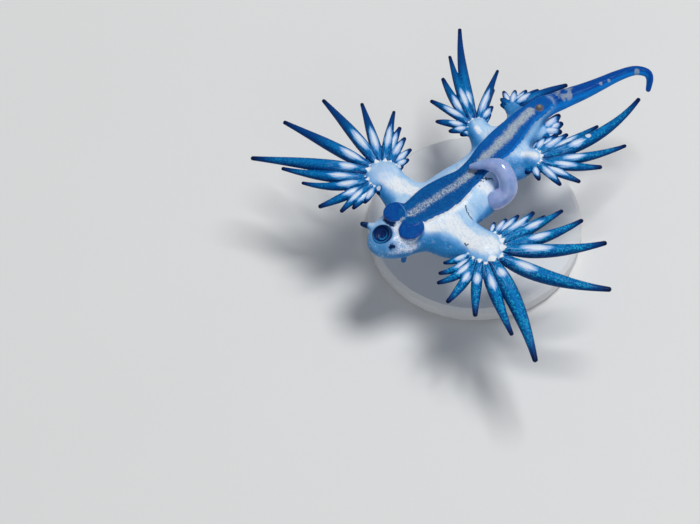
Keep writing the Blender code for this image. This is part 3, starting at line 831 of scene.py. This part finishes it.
def foot_values(points):
    """Numbers along and across the sole, and how far inside the sole and its lobes points are."""
    tube = sole_tube()
    chosen, _, run, across, _ = tube_values(points, tube, SOLE_NEAR)
    half_widths = np.interp(run, tube.runs, tube.rows[:, 3])
    off = across * half_widths
    beyond = np.maximum(np.maximum(-run, run - tube.runs[-1]), 0)
    is_top = points[:, 2] > SOLE_SIDE
    sole_in = np.where(is_top[chosen], half_widths - np.hypot(off, beyond), -AWAY)
    lobe_in = np.full(len(points), -AWAY)
    for x, y, half_width, half_length in LOBES:
        offset = np.hypot((points[:, 0] - x) / half_width, (points[:, 1] - y) / half_length)
        lobe_in = np.maximum(lobe_in, np.where(is_top, 1 - offset, -AWAY))
    return {
        "sole_run": spread(points, chosen, run, -AWAY),
        "sole_off": spread(points, chosen, off, AWAY),
        "sole_in": spread(points, chosen, sole_in, -AWAY),
        "lobe_in": lobe_in,
    }


def skin_values(grid, fields, points):
    """A number for each point of the skin in every value that the material reads."""
    values = {**ceras_values(points), **foot_values(points)}
    values["cerata_in"] = grid.sample(fields["body"], points) - grid.sample(fields["cerata"], points)
    slope = grid.slope(fields["body"], points)
    lean = np.full(len(points), FRONT_LEAN)
    for name, amount in ARM_LEANS.items():
        ends = FANS[name][0][0][:2], FANS[name][0][-1][:2]
        nearness = 1 - line_distance(points, *ends) / ARM_LEAN_REACH
        lean += amount * np.clip(nearness, 0, 1)
    # How much the skin faces up, less on its front side: the body's bands paint light and shade by it.
    values["body_up"] = slope[:, 2] + lean * np.minimum(slope[:, 1], 0)
    values["brush_along"] = points[:, 0] + BRUSH_SLANT * points[:, 1]
    values["brush_across"] = points[:, 1] - BRUSH_SLANT * points[:, 0] + points[:, 2]
    chosen, _, run, across, _ = tube_values(points, spine_tube(), TAIL_NEAR)
    values["tail_run"] = spread(points, chosen, run, 0.0)
    values["tail_side"] = spread(points, chosen, across, 0.0)
    arm_rows, rim_radius, _ = FANS["front_left"]
    values["blue_knob"] = away(points, [(*arm_rows[-1][:2], rim_radius)])
    values["bronze"] = away(points, [BRONZE_BEAD])
    values["wart"] = away(points, WARTS)
    blotch = np.full(len(points), -1.0)
    for x, y, radius, hole in BLOTCHES:
        offset = np.hypot(points[:, 0] - x, points[:, 1] - y)
        inside = 1 - offset / radius
        if hole:
            inside = np.minimum(inside, (offset - hole) / (radius - hole))
        blotch = np.maximum(blotch, inside)
    values["blotch"] = blotch
    bent_lines = {"mark": MARKS, "crown": CROWN, "crease": CREASE, "cleft": CLEFT, "lobe_shadow": LOBE_SHADOW}
    for name, lines in bent_lines.items():
        pairs = [pair for line in lines for pair in zip(line, line[1:])]
        values[name] = np.minimum.reduce([line_distance(points, *pair) for pair in pairs])
    # The ridge value says where white highlights are painted, and the dark value where painted shade darkens
    # the flanks.
    for name, lines in (("ridge", HIGHLIGHT_LINES), ("dark", SHADED_FLANKS)):
        shares = [1 - line_distance(points, start, end) / radius for start, end, radius in lines]
        values[name] = np.maximum.reduce(shares)
    tips = {name: np.linalg.norm(points - rows[-1][:3], axis=1) for name, rows in FEELERS.items()}
    for side in ("left", "right"):
        values[f"feeler_{side}"] = tips[f"oral_tentacle_{side}"]
    values["rhinophore"] = np.minimum(tips["rhinophore_left"], tips["rhinophore_right"])
    values["mouth_r"] = np.linalg.norm(points - MOUTH_CENTRE, axis=1)
    return values


# Materials.

class Paint:
    """Short ways to make the nodes of one material. Sizes of patterns are in millimetres."""

    def __init__(self, name):
        self.material = bpy.data.materials.new(name)
        self.material.use_nodes = True
        self.nodes = self.material.node_tree.nodes
        self.links = self.material.node_tree.links
        self.shader = self.nodes["Principled BSDF"]
        self.place = self.nodes.new("ShaderNodeTexCoord").outputs["Object"]

    def put(self, socket, value):
        if isinstance(value, bpy.types.NodeSocket):
            self.links.new(value, socket)
        elif isinstance(value, tuple) and len(value) == 3 and socket.type == "RGBA":
            socket.default_value = (*value, 1)
        else:
            socket.default_value = value

    def value(self, name):
        node = self.nodes.new("ShaderNodeAttribute")
        node.attribute_name = name
        return node.outputs["Fac"]

    def math(self, operation, first, second=0.0):
        node = self.nodes.new("ShaderNodeMath")
        node.operation = operation
        self.put(node.inputs[0], first)
        self.put(node.inputs[1], second)
        return node.outputs[0]

    def add(self, first, second):
        return self.math("ADD", first, second)

    def times(self, first, second):
        return self.math("MULTIPLY", first, second)

    def stray(self, value, noise, amount):
        """A value moved up and down by a noise."""
        return self.add(value, self.times(self.add(noise, -0.5), amount))

    def rise(self, value, low, high):
        """Grows smoothly from 0 at low to 1 at high, or falls if low is the greater."""
        node = self.nodes.new("ShaderNodeMapRange")
        node.interpolation_type = "SMOOTHSTEP"
        self.put(node.inputs["Value"], value)
        start, end = (low, high) if low < high else (high, low)
        node.inputs["From Min"].default_value = start
        node.inputs["From Max"].default_value = end
        node.inputs["To Min"].default_value = 0.0 if low < high else 1.0
        node.inputs["To Max"].default_value = 1.0 if low < high else 0.0
        return node.outputs["Result"]

    def mix(self, share, first, second):
        node = self.nodes.new("ShaderNodeMix")
        node.data_type = "RGBA"
        self.put(node.inputs["Factor"], share)
        self.put(node.inputs[6], first)
        self.put(node.inputs[7], second)
        return node.outputs[2]

    def over(self, colour, *layers):
        """A colour with layers on it: each has one share or more, which are multiplied, and its colour."""
        for share, *more, laid in layers:
            for other in more:
                share = self.times(share, other)
            colour = self.mix(share, colour, laid)
        return colour

    def bands(self, value, stops):
        """Colours along a value from -1 to 1."""
        node = self.nodes.new("ShaderNodeValToRGB")
        self.put(node.inputs["Fac"], self.add(self.times(value, 0.5), 0.5))
        ramp = node.color_ramp
        while len(ramp.elements) < len(stops):
            ramp.elements.new(0.5)
        for element, (place, colour) in zip(ramp.elements, stops):
            element.position = (place + 1) / 2
            element.color = (*colour, 1)
        return node.outputs["Color"]

    def noise(self, size, detail=2.0, where=None):
        node = self.nodes.new("ShaderNodeTexNoise")
        self.put(node.inputs["Vector"], where or self.place)
        node.inputs["Scale"].default_value = 1 / (size * MM) if where is None else 1 / size
        node.inputs["Detail"].default_value = detail
        return node.outputs["Fac"]

    def cells(self, size, output="Color"):
        node = self.nodes.new("ShaderNodeTexVoronoi")
        self.put(node.inputs["Vector"], self.place)
        node.inputs["Scale"].default_value = 1 / (size * MM)
        found = node.outputs[output]
        if output != "Color":
            return found
        parts = self.nodes.new("ShaderNodeSeparateColor")
        self.links.new(found, parts.inputs[0])
        return parts.outputs[0]

    def vector(self, x, y, z=0.0):
        node = self.nodes.new("ShaderNodeCombineXYZ")
        for socket, value in zip(node.inputs, (x, y, z)):
            self.put(socket, value)
        return node.outputs[0]

    def bump(self, height, distance, strength=1.0, under=None):
        node = self.nodes.new("ShaderNodeBump")
        node.inputs["Strength"].default_value = strength
        node.inputs["Distance"].default_value = distance * MM
        self.put(node.inputs["Height"], height)
        if under is not None:
            self.put(node.inputs["Normal"], under)
        return node.outputs[0]

    def finish(self, colour, roughness, normal=None, **plain):
        self.put(self.shader.inputs["Base Color"], colour)
        self.put(self.shader.inputs["Roughness"], roughness)
        if normal is not None:
            self.put(self.shader.inputs["Normal"], normal)
        for key, value in plain.items():
            self.put(self.shader.inputs[key.replace("_", " ")], value)
        return self.material


WHITE = (0.90, 0.94, 0.97)
PEARL = (0.74, 0.84, 0.94)
LAVENDER = (0.40, 0.54, 0.86)
NAVY = (0.0005, 0.028, 0.16)
DEEP = (0.0005, 0.040, 0.20)
INK = (0.001, 0.010, 0.06)
ROOT_BLUE = (0.0005, 0.060, 0.27)
TEAL = (0.0005, 0.105, 0.36)
BRIGHT = (0.001, 0.18, 0.52)
CYAN = (0.01, 0.40, 0.68)
SKY = (0.24, 0.49, 0.88)
SOLE_BLUE = (0.0003, 0.072, 0.29)
SOLE_LIGHT = (0.002, 0.15, 0.42)
CREAM = (0.50, 0.56, 0.60)
TAIL_BLUE = (0.0003, 0.058, 0.33)
AZURE = (0.004, 0.22, 0.74)


class SkinPaint(Paint):
    """Paint for the skin, with the patterns and places that its parts share."""

    def __init__(self):
        super().__init__("slug_skin")
        self.grain = self.noise(0.14)
        self.cloud = self.noise(1.5, 3.0)
        self.ripple = self.noise(0.45, 3.0)
        self.rim = self.noise(0.5, 3.0)
        self.granule = self.cells(0.13)
        self.speck = self.cells(0.22)
        self.fine = self.cells(0.085)
        along = self.times(self.value("fibre_run"), 0.14)
        self.fibre = self.noise(0.16, 3.0, self.vector(along, self.value("fibre_off")))
        across = self.times(self.value("sole_off"), 0.45)
        self.strokes = self.noise(0.13, 4.0, self.vector(self.value("sole_run"), across))
        self.up = self.cloudy("body_up", 0.5, 0.22)
        self.wart = self.stray(self.value("wart"), self.grain, 0.3)
        self.patch = self.stray(self.stray(self.value("patch_in"), self.fibre, 0.80), self.grain, 0.15)
        self.sole_in = self.stray(self.value("sole_in"), self.rim, 0.22)
        self.lobe_in = self.stray(self.value("lobe_in"), self.rim, 0.08)
        self.tail = self.edge("tail_run", self.cloud, 2.2, 19.6, 21.6)
        self.on_cerata = self.edge("cerata_in", self.grain, 0.1, -0.04, 0.06)
        self.on_foot = self.rise(self.sole_in, -0.04, 0.02)
        self.on_lobe = self.rise(self.lobe_in, -0.02, 0.02)

    def cloudy(self, name, by_cloud, by_grain):
        """A value of the skin moved by the cloud and the grain."""
        return self.stray(self.stray(self.value(name), self.cloud, by_cloud), self.grain, by_grain)

    def edge(self, name, noise, amount, low, high):
        """Rises with a value of the skin that a noise moves."""
        return self.rise(self.stray(self.value(name), noise, amount), low, high)

    def dots(self, size, wide, narrow, low, high):
        """Round dots, only where the specks are high."""
        round_dots = self.rise(self.cells(size, "Distance"), wide, narrow)
        return self.times(round_dots, self.rise(self.speck, low, high))


# Colours of the body by how its skin faces, from underside to top: the silvery grey underside and the blue of
# the flanks are the animal's own colours, and the paling towards the top and darkening towards the sides are
# painted light and shade.
BODY_BANDS = (
    (-0.80, (0.34, 0.42, 0.52)),
    (-0.50, (0.10, 0.20, 0.36)),
    (-0.10, (0.01, 0.13, 0.38)),
    (0.25, (0.02, 0.19, 0.48)),
    (0.50, (0.10, 0.35, 0.74)),
    (0.68, (0.26, 0.54, 0.90)),
    (0.86, (0.40, 0.64, 0.92)),
    (1.0, (0.58, 0.76, 0.94)),
)


def body_colour(paint):
    """The trunk and arms: painted white highlights along the ridges, painted shade on the dark flanks, and
    fine streaks.
    """
    # ridge: painted white highlights on the upward faces along the arms and the right flank.
    ridge = paint.rise(paint.cloudy("ridge", 0.7, 0.25), 0.05, 0.55)
    ridge = paint.times(ridge, paint.rise(paint.up, 0.35, 0.75))
    painted_highlight = paint.mix(paint.rise(paint.granule, 0.60, 1.0), WHITE, (0.72, 0.82, 0.95))
    along = paint.times(paint.value("brush_along"), 0.15)
    brushed = paint.noise(0.22, 4.0, paint.vector(paint.value("brush_across"), along))
    # dark: painted shade, a darker blue on the flanks under the arms.
    dark = paint.cloudy("dark", 0.6, 0.2)
    flank_shade_colour = paint.mix(paint.rise(paint.granule, 0.5, 1.0), (0.01, 0.17, 0.47), (0.03, 0.29, 0.62))
    blue_part = paint.rise(paint.up, 0.75, 0.1)
    # Pale clouds of painted sheen, only on the upward faces.
    painted_sheen = paint.rise(paint.noise(0.9, 3.0), 0.56, 0.72)
    ring = paint.times(paint.rise(paint.wart, 1.15, 0.95), paint.rise(paint.wart, 0.62, 0.85))
    return paint.over(
        paint.bands(paint.up, BODY_BANDS),
        (ridge, painted_highlight),
        (paint.rise(brushed, 0.54, 0.64), paint.add(0.30, paint.times(ridge, -0.15)), (0.12, 0.36, 0.78)),
        (paint.rise(brushed, 0.46, 0.38), ridge, 0.5, WHITE),
        (paint.rise(dark, -0.05, 0.40), 0.8, (0.09, 0.33, 0.72)),
        (paint.rise(dark, 0.25, 0.75), 0.8, flank_shade_colour),
        (blue_part, paint.rise(paint.granule, 0.55, 1.0), 0.5, (0.01, 0.10, 0.34)),
        (paint.rise(paint.up, 0.45, 0.8), painted_sheen, 0.28, (0.62, 0.70, 0.90)),
        (blue_part, paint.dots(0.28, 0.20, 0.05, 0.70, 0.9), SKY),
        (paint.edge("blue_knob", paint.cloud, 0.5, 1.05, 0.30), 0.55, (0.42, 0.62, 0.93)),
        (ring, paint.rise(paint.noise(0.6), 0.36, 0.62), 0.75, (0.01, 0.05, 0.18)),
    )


def head_colour(paint, colour):
    """A colour with the head's froth and lip, the painted shadow beside the mouth, and the dark tips of the
    feelers.
    """
    mouth = paint.value("mouth_r")
    head = paint.rise(mouth, 3.4, 2.0)
    crown = paint.times(paint.edge("crown", paint.cloud, 0.9, 1.15, 0.40), paint.rise(paint.up, 0.0, 0.5))
    froth = paint.rise(paint.stray(paint.ripple, paint.fine, 0.35), 0.38, 0.60)
    dark_tip = (0.003, 0.02, 0.09)
    return paint.over(
        colour,
        (head, 0.35, (0.14, 0.34, 0.62)),
        (crown, 0.6, (0.34, 0.54, 0.84)),
        (crown, froth, 0.95, (0.84, 0.86, 0.95)),
        (head, paint.dots(0.2, 0.28, 0.1, 0.65, 0.85), WHITE),
        (paint.rise(mouth, 1.40, 1.15), 0.8, (0.10, 0.30, 0.60)),
        # Painted shadow beside the mouth, under the left lobe.
        (paint.edge("lobe_shadow", paint.grain, 0.3, 0.48, 0.26), (0.001, 0.016, 0.08)),
        (paint.edge("feeler_right", paint.cloud, 0.5, 0.85, 0.40), 0.75, (0.08, 0.28, 0.62)),
        (paint.edge("feeler_left", paint.ripple, 0.2, 0.75, 0.525), dark_tip),
        (paint.edge("feeler_right", paint.ripple, 0.6, 0.40, 0.28), dark_tip),
        (paint.rise(paint.value("rhinophore"), 1.0, 0.4), (0.03, 0.15, 0.42)),
    )


def tail_colour(paint):
    """The tail: blue with a brighter right side, fine streaks and pale blotches."""
    run, side = paint.value("tail_run"), paint.value("tail_side")
    streak = paint.noise(0.2, 3.0, paint.vector(paint.times(run, 0.12), side))
    return paint.over(
        TAIL_BLUE,
        (paint.rise(paint.stray(side, paint.grain, 0.25), 0.45, 0.85), AZURE),
        (paint.rise(streak, 0.48, 0.66), 0.6, (0.004, 0.15, 0.50)),
        (paint.edge("blotch", paint.ripple, 1.3, -0.05, 0.30), 0.70, (0.34, 0.42, 0.48)),
        (paint.rise(run, 34.5, 36.6), INK),
    )


def ceras_colour(paint):
    """One ceras: glitter, a bright middle line, dark edges and tip, and a silvery patch on top."""
    share = paint.value("ceras_t")
    side = paint.stray(paint.math("ABSOLUTE", paint.value("ceras_s")), paint.fibre, 0.5)
    far_out = paint.times(paint.rise(share, 0.30, 0.80), paint.value("dusk"))
    bright = paint.times(paint.rise(paint.granule, 0.45, 0.95), paint.value("glitter"))
    middle_line = paint.times(paint.rise(side, 0.50, 0.10), paint.rise(share, 0.85, 0.50))
    patch = paint.mix(paint.rise(paint.patch, 0.20, 0.55), LAVENDER, PEARL)
    patch = paint.mix(paint.rise(paint.patch, -0.02, 0.20), (0.06, 0.34, 0.68), patch)
    tip = paint.stray(share, paint.grain, 0.06)
    return paint.over(
        TEAL,
        (far_out, 0.85, DEEP),
        (paint.rise(share, 0.22, 0.06), ROOT_BLUE),
        (bright, paint.rise(far_out, 0.9, 0.0), CYAN),
        (middle_line, paint.rise(far_out, 0.8, 0.1), 0.7, BRIGHT),
        (paint.rise(paint.fibre, 0.50, 0.62), paint.rise(share, 0.45, 0.15), 0.55, SKY),
        (paint.rise(side, 0.50, 1.0), 0.85, NAVY),
        (paint.edge("ceras_v", paint.grain, 0.2, -0.35, -0.75), (0.20, 0.34, 0.56)),
        (paint.rise(paint.patch, -0.16, 0.06), patch),
        (paint.rise(tip, 0.80, 0.95), NAVY),
        (paint.rise(tip, 0.93, 0.99), INK),
    )


def teeth(paint):
    """The share of white in the small teeth at the roots of the cerata."""
    side = paint.math("ABSOLUTE", paint.value("ceras_s"))
    root_run = paint.add(paint.value("fibre_run"), paint.times(side, 0.5))
    past_tooth = paint.add(root_run, paint.times(paint.value("tooth"), -1.0))
    tooth = paint.rise(paint.stray(past_tooth, paint.grain, 0.25), 0.0, -0.14)
    tooth = paint.times(tooth, paint.rise(paint.value("ceras_v"), 0.0, 0.3))
    return paint.times(tooth, paint.rise(paint.value("cerata_in"), -0.12, 0.0))


def sole_colour(paint):
    """The sole: blue, with a frayed cream line along its middle and a bright right rim."""
    run, aside = paint.value("sole_run"), paint.value("sole_off")
    rear = paint.rise(run, 8.5, 12.5)
    off = paint.stray(paint.math("ABSOLUTE", aside), paint.strokes, 1.0)
    off = paint.stray(off, paint.noise(1.0), 0.6)
    off = paint.add(off, paint.times(paint.rise(run, 0.0, -0.9), 0.7))
    off = paint.add(off, paint.times(rear, -0.10))
    off = paint.add(off, paint.times(paint.rise(run, 17.6, 18.6), 0.8))
    cream = paint.over(
        (0.26, 0.34, 0.43),
        (paint.rise(paint.strokes, 0.36, 0.60), CREAM),
        (
            paint.rise(paint.granule, 0.6, 0.95),
            paint.add(0.15, paint.times(paint.rise(run, 9.0, 6.0), 0.30)),
            (0.74, 0.78, 0.84),
        ),
    )
    salt = paint.rise(paint.stray(paint.fine, paint.strokes, 1.2), 0.35, 0.62)
    solid = paint.add(0.18, paint.times(paint.rise(run, 5.5, 8.0), 0.65))
    density = paint.math("MINIMUM", paint.add(solid, paint.times(salt, 0.75)), 0.92)
    right_rim = paint.times(paint.rise(paint.sole_in, 0.30, 0.05), paint.rise(aside, 0.0, 0.3))
    return paint.over(
        SOLE_BLUE,
        (rear, (0.0005, 0.085, 0.40)),
        (paint.rise(paint.granule, 0.4, 1.0), 0.6, SOLE_LIGHT),
        (paint.rise(paint.cloud, 0.5, 0.75), 0.5, (0.002, 0.12, 0.38)),
        (paint.dots(0.24, 0.16, 0.05, 0.6, 0.8), 0.4, (0.02, 0.30, 0.60)),
        (paint.rise(off, 0.56, 0.16), density, cream),
        (right_rim, paint.add(paint.times(rear, 0.6), 0.2), AZURE),
    )


def lobe_colour(paint):
    """The two lobes of the foot, with a paler rim."""
    return paint.over(
        (0.0003, 0.058, 0.31),
        (paint.rise(paint.granule, 0.5, 1.0), 0.5, (0.002, 0.12, 0.40)),
        (paint.rise(paint.cloud, 0.45, 0.7), 0.5, (0.001, 0.10, 0.38)),
        (paint.rise(paint.lobe_in, 0.08, 0.02), 0.40, (0.16, 0.18, 0.32)),
    )


def skin_material():
    paint = SkinPaint()
    bronze = paint.value("bronze")
    colour = paint.over(
        head_colour(paint, body_colour(paint)),
        (paint.tail, tail_colour(paint)),
        (paint.on_cerata, ceras_colour(paint)),
        (teeth(paint), WHITE),
        (paint.rise(paint.wart, 0.66, 0.50), 0.8, WHITE),
        (paint.on_foot, paint.rise(paint.tail, 1.0, 0.4), sole_colour(paint)),
        (paint.on_lobe, paint.rise(paint.sole_in, 0.30, 0.05), lobe_colour(paint)),
        (paint.edge("crease", paint.grain, 0.08, 0.08, 0.03), 0.35, SKY),
        (paint.edge("cleft", paint.strokes, 0.6, 0.20, 0.04), 0.6, CREAM),
        (paint.edge("mark", paint.grain, 0.45, 0.10, 0.02), 0.95, (0.005, 0.02, 0.08)),
        (paint.rise(bronze, 1.5, 0.8), 0.9, (0.20, 0.16, 0.11)),
        (paint.rise(bronze, 0.55, 0.25), 0.4, (0.40, 0.42, 0.44)),
    )
    blue = paint.times(paint.on_cerata, paint.rise(paint.patch, 0.1, -0.1))
    for place in (paint.tail, paint.on_foot, paint.on_lobe):
        blue = paint.math("MAXIMUM", blue, place)
    roughness = paint.add(paint.times(paint.grain, 0.15), paint.add(0.22, paint.times(blue, 0.22)))
    roughness = paint.add(roughness, paint.times(paint.tail, 0.12))
    normal = None
    for pattern, depth in ((paint.grain, 0.03), (paint.ripple, 0.07), (paint.cloud, 0.12)):
        normal = paint.bump(pattern, depth, 0.6, normal)
    return paint.finish(
        colour, roughness, normal, Specular_IOR_Level=0.15, Specular_Tint=(0.35, 0.65, 1.0),
        Coat_Weight=0.03, Coat_Roughness=0.06,
    )


def organ_material():
    paint = Paint("organ_skin")
    cloud = paint.noise(1.2, 2.0)
    colour = paint.mix(paint.rise(cloud, 0.35, 0.7), (0.27, 0.40, 0.74), (0.41, 0.51, 0.84))
    return paint.finish(
        colour, 0.18, paint.bump(cloud, 0.05, 0.3), Subsurface_Weight=0.45, Subsurface_Scale=0.7 * MM,
        Coat_Weight=0.5, Coat_Roughness=0.04,
    )


def mouth_material():
    paint = Paint("mouth_skin")
    grain = paint.noise(0.12)
    ridge = paint.rise(paint.stray(paint.value("ridge"), grain, 0.4), 0.42, 0.90)
    colour = paint.mix(ridge, (0.001, 0.020, 0.11), (0.02, 0.20, 0.48))
    return paint.finish(colour, 0.35, paint.bump(grain, 0.03, 0.6), Specular_IOR_Level=0.15)


def stand_material():
    paint = Paint("stand_satin")
    grain = paint.noise(0.25, 3.0)
    colour = paint.mix(grain, (0.74, 0.75, 0.77), (0.80, 0.81, 0.82))
    return paint.finish(colour, paint.add(paint.times(grain, 0.1), 0.42), paint.bump(grain, 0.01, 0.3))


def floor_material():
    paint = Paint("pale_floor")
    cloud = paint.noise(30.0, 3.0)
    colour = paint.mix(cloud, (0.80, 0.80, 0.79), (0.83, 0.83, 0.82))
    return paint.finish(colour, 0.6)


# Pieces.

# Nodes whose names begin so are the flesh that the skin replaces.
SKIN_NODES = ("head", "oral", "rhinophore", "foot", "trunk", "tail", "arm")
ORGAN_PER_SPAN = 8
ORGAN_SIDES = 40
END_STEPS = 6
# The least share of a tube's radius at the pole of its round end.
END_SHARE = 0.01


def tube_mesh(rows, sides):
    """Points and faces of a smooth tube with round ends."""
    tube = Tube(rows)
    alongs = np.gradient(tube.centres, axis=0)
    alongs /= np.linalg.norm(alongs, axis=1, keepdims=True)
    aside = np.cross(alongs[0], (0, 0, 1.0))
    points = []
    for centre, along, row in zip(tube.centres, alongs, tube.rows):
        aside = aside - along * (aside @ along)
        aside /= np.linalg.norm(aside)
        upward = np.cross(aside, along)
        for side in range(sides):
            angle = 2 * math.pi * side / sides
            points.append(centre + aside * math.cos(angle) * row[3] + upward * math.sin(angle) * row[4])
    return np.array(points), ring_faces(len(tube.rows), sides)


def ring_faces(rings, sides):
    """Faces between rings of points that follow each other."""
    faces = []
    for ring in range(rings - 1):
        for side in range(sides):
            following = (side + 1) % sides
            first, second = ring * sides, (ring + 1) * sides
            faces.append((first + side, second + side, second + following, first + following))
    return np.array(faces)


def round_ends(rows):
    """Rows that close both ends of a tube in a half ball."""
    rows = [np.asarray(row, float) for row in rows]
    angles = [math.pi / 2 * step / END_STEPS for step in range(1, END_STEPS + 1)]
    head = [end_row(rows[0], rows[1], angle) for angle in reversed(angles)]
    return head + rows + [end_row(rows[-1], rows[-2], angle) for angle in angles]


def end_row(row, inner, angle):
    """A row past the end of a tube, at an angle round its half ball."""
    outward = row[:3] - inner[:3]
    outward /= np.linalg.norm(outward)
    size = max(math.cos(angle), END_SHARE)
    return np.array((*(row[:3] + outward * row[4] * math.sin(angle)), row[3] * size, row[4] * size))


def make_skin():
    grid = Grid(GRID_LOW, GRID_HIGH, CELL)
    fields = grow_fields(grid)
    points, faces = surface(grid, fields["whole"])
    points = relax(points, faces, SMOOTHING_ROUNDS)
    skin = add_mesh("skin", points, faces, skin_material(), skin_values(grid, fields, points))
    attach(skin, "root")
    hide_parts(*[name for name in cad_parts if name.split("_")[0] in SKIN_NODES])


def make_organ():
    rows = [(*row[:3], row[3], row[3]) for row in curve_through(ORGAN, ORGAN_PER_SPAN)]
    points, faces = tube_mesh(round_ends(rows), ORGAN_SIDES)
    organ = add_mesh("organ", points, faces, organ_material())
    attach(organ, "root")
    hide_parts("reproductive_organ")


MOUTH_RINGS = 40
MOUTH_SIDES = 72
# Radius of the closed middle, and how far the lip is outside it.
MOUTH_HOLE = 0.02
MOUTH_REACH = 1.02
# Rings that turn down behind the lip, and how far each goes outwards and down.
LIP_RINGS = 3
LIP_FLARE = 0.03
LIP_DROP = 0.12
# The side toward which the mouth's ridges stand up, in radians from the animal's right.
MOUTH_FOLD_SIDE = -0.4
# The mouth's dish: its depth, its rise to the lip, and how much higher it is on the fold side.
DISH_DEPTH = 0.50
DISH_RISE = 0.55
DISH_CURVE = 2.2
DISH_TILT = 0.16
# The ridges in it: how many radians of them there are, how they bend, and their height.
RIDGE_TURNS = 15.0
RIDGE_BEND = 1.6
RIDGE_HEIGHT = 0.05


def mouth_height(share, angle):
    """Height of the mouth's surface from its middle to its lip, and how far up its ridges it is."""
    toward_fold = math.cos(angle - MOUTH_FOLD_SIDE)
    dish = -DISH_DEPTH + DISH_RISE * share**DISH_CURVE + DISH_TILT * share * toward_fold
    ridge = math.cos(share * RIDGE_TURNS + RIDGE_BEND * toward_fold) * share**0.5
    fold = 0.5 + 0.5 * toward_fold
    return dish + RIDGE_HEIGHT * ridge, 0.5 + 0.5 * ridge * fold + 0.25 * (fold - 0.5)


def make_mouth():
    tilt = Vector((0, 0, 1)).rotation_difference(Vector(MOUTH_FACING))
    points, ridges = [], []
    rings = MOUTH_RINGS + LIP_RINGS + 1
    for ring in range(rings):
        share = min(ring / MOUTH_RINGS, 1.0)
        past_lip = max(ring - MOUTH_RINGS, 0)
        radius = MOUTH_HOLE + MOUTH_REACH * share + LIP_FLARE * min(past_lip, 2)
        for side in range(MOUTH_SIDES):
            angle = 2 * math.pi * side / MOUTH_SIDES
            height, ridge = mouth_height(share, angle)
            height -= LIP_DROP * past_lip
            place = Vector((radius * math.cos(angle), radius * math.sin(angle), height))
            points.append(Vector(MOUTH_CENTRE) + tilt @ place)
            ridges.append(ridge)
    faces = ring_faces(rings, MOUTH_SIDES)
    mouth = add_mesh("mouth_dish", np.array(points), faces, mouth_material(), {"ridge": ridges})
    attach(mouth, "root")
    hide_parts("mouth")


def finish_stand():
    satin = stand_material()
    for name in ("stand_base", "stand_rod_front", "stand_rod_rear"):
        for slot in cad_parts[name].material_slots:
            slot.material = satin


# The floor, light and camera, in metres.

FLOOR_HALF = 1.5
SKY_COLOUR = (0.86, 0.90, 0.96, 1)
SKY_STRENGTH = 0.26
# Lights that look at the origin: name, place, size, power in watts.
LIGHTS = (
    ("overhead", (0.02, 0.16, 0.58), 0.20, 2.2),
    ("front_fill", (0.45, -0.35, 0.35), 0.40, 0.4),
)
CAMERA_PLACE = (0.24967, -0.24202, 0.50992)
CAMERA_LOOK = (-0.41556, 0.37417, -0.82904)
CAMERA_LENS = 308.57
CAMERA_SENSOR = 36.0
CAMERA_NEAR = 0.01
CAMERA_FAR = 20


def make_floor():
    corners = [(x * FLOOR_HALF, y * FLOOR_HALF, 0) for x, y in ((-1, -1), (1, -1), (1, 1), (-1, 1))]
    mesh = bpy.data.meshes.new("floor")
    mesh.from_pydata(corners, [], [(0, 1, 2, 3)])
    mesh.materials.append(floor_material())
    floor = add_object("floor", mesh)


def place_object(obj, place, look):
    """Puts a light or camera at a place and turns it to look in a direction."""
    obj.location = place
    obj.rotation_euler = look.to_track_quat("-Z", "Y").to_euler()


def make_studio():
    world = bpy.data.worlds.new("studio")
    world.use_nodes = True
    background = world.node_tree.nodes["Background"]
    background.inputs["Color"].default_value = SKY_COLOUR
    background.inputs["Strength"].default_value = SKY_STRENGTH
    bpy.context.scene.world = world
    bpy.context.scene.view_settings.view_transform = "Standard"
    for name, place, size, power in LIGHTS:
        light = bpy.data.lights.new(name, "AREA")
        light.shape = "DISK"
        light.size = size
        light.energy = power
        place_object(add_object(name, light), place, -Vector(place))


def make_camera():
    data = bpy.data.cameras.new("camera")
    data.lens = CAMERA_LENS
    data.sensor_width = CAMERA_SENSOR
    data.sensor_fit = "HORIZONTAL"
    data.clip_start = CAMERA_NEAR
    data.clip_end = CAMERA_FAR
    camera = add_object("camera", data)
    place_object(camera, CAMERA_PLACE, Vector(CAMERA_LOOK))
    bpy.context.scene.camera = camera


make_camera()
make_studio()
make_floor()
make_skin()
make_organ()
make_mouth()
finish_stand()
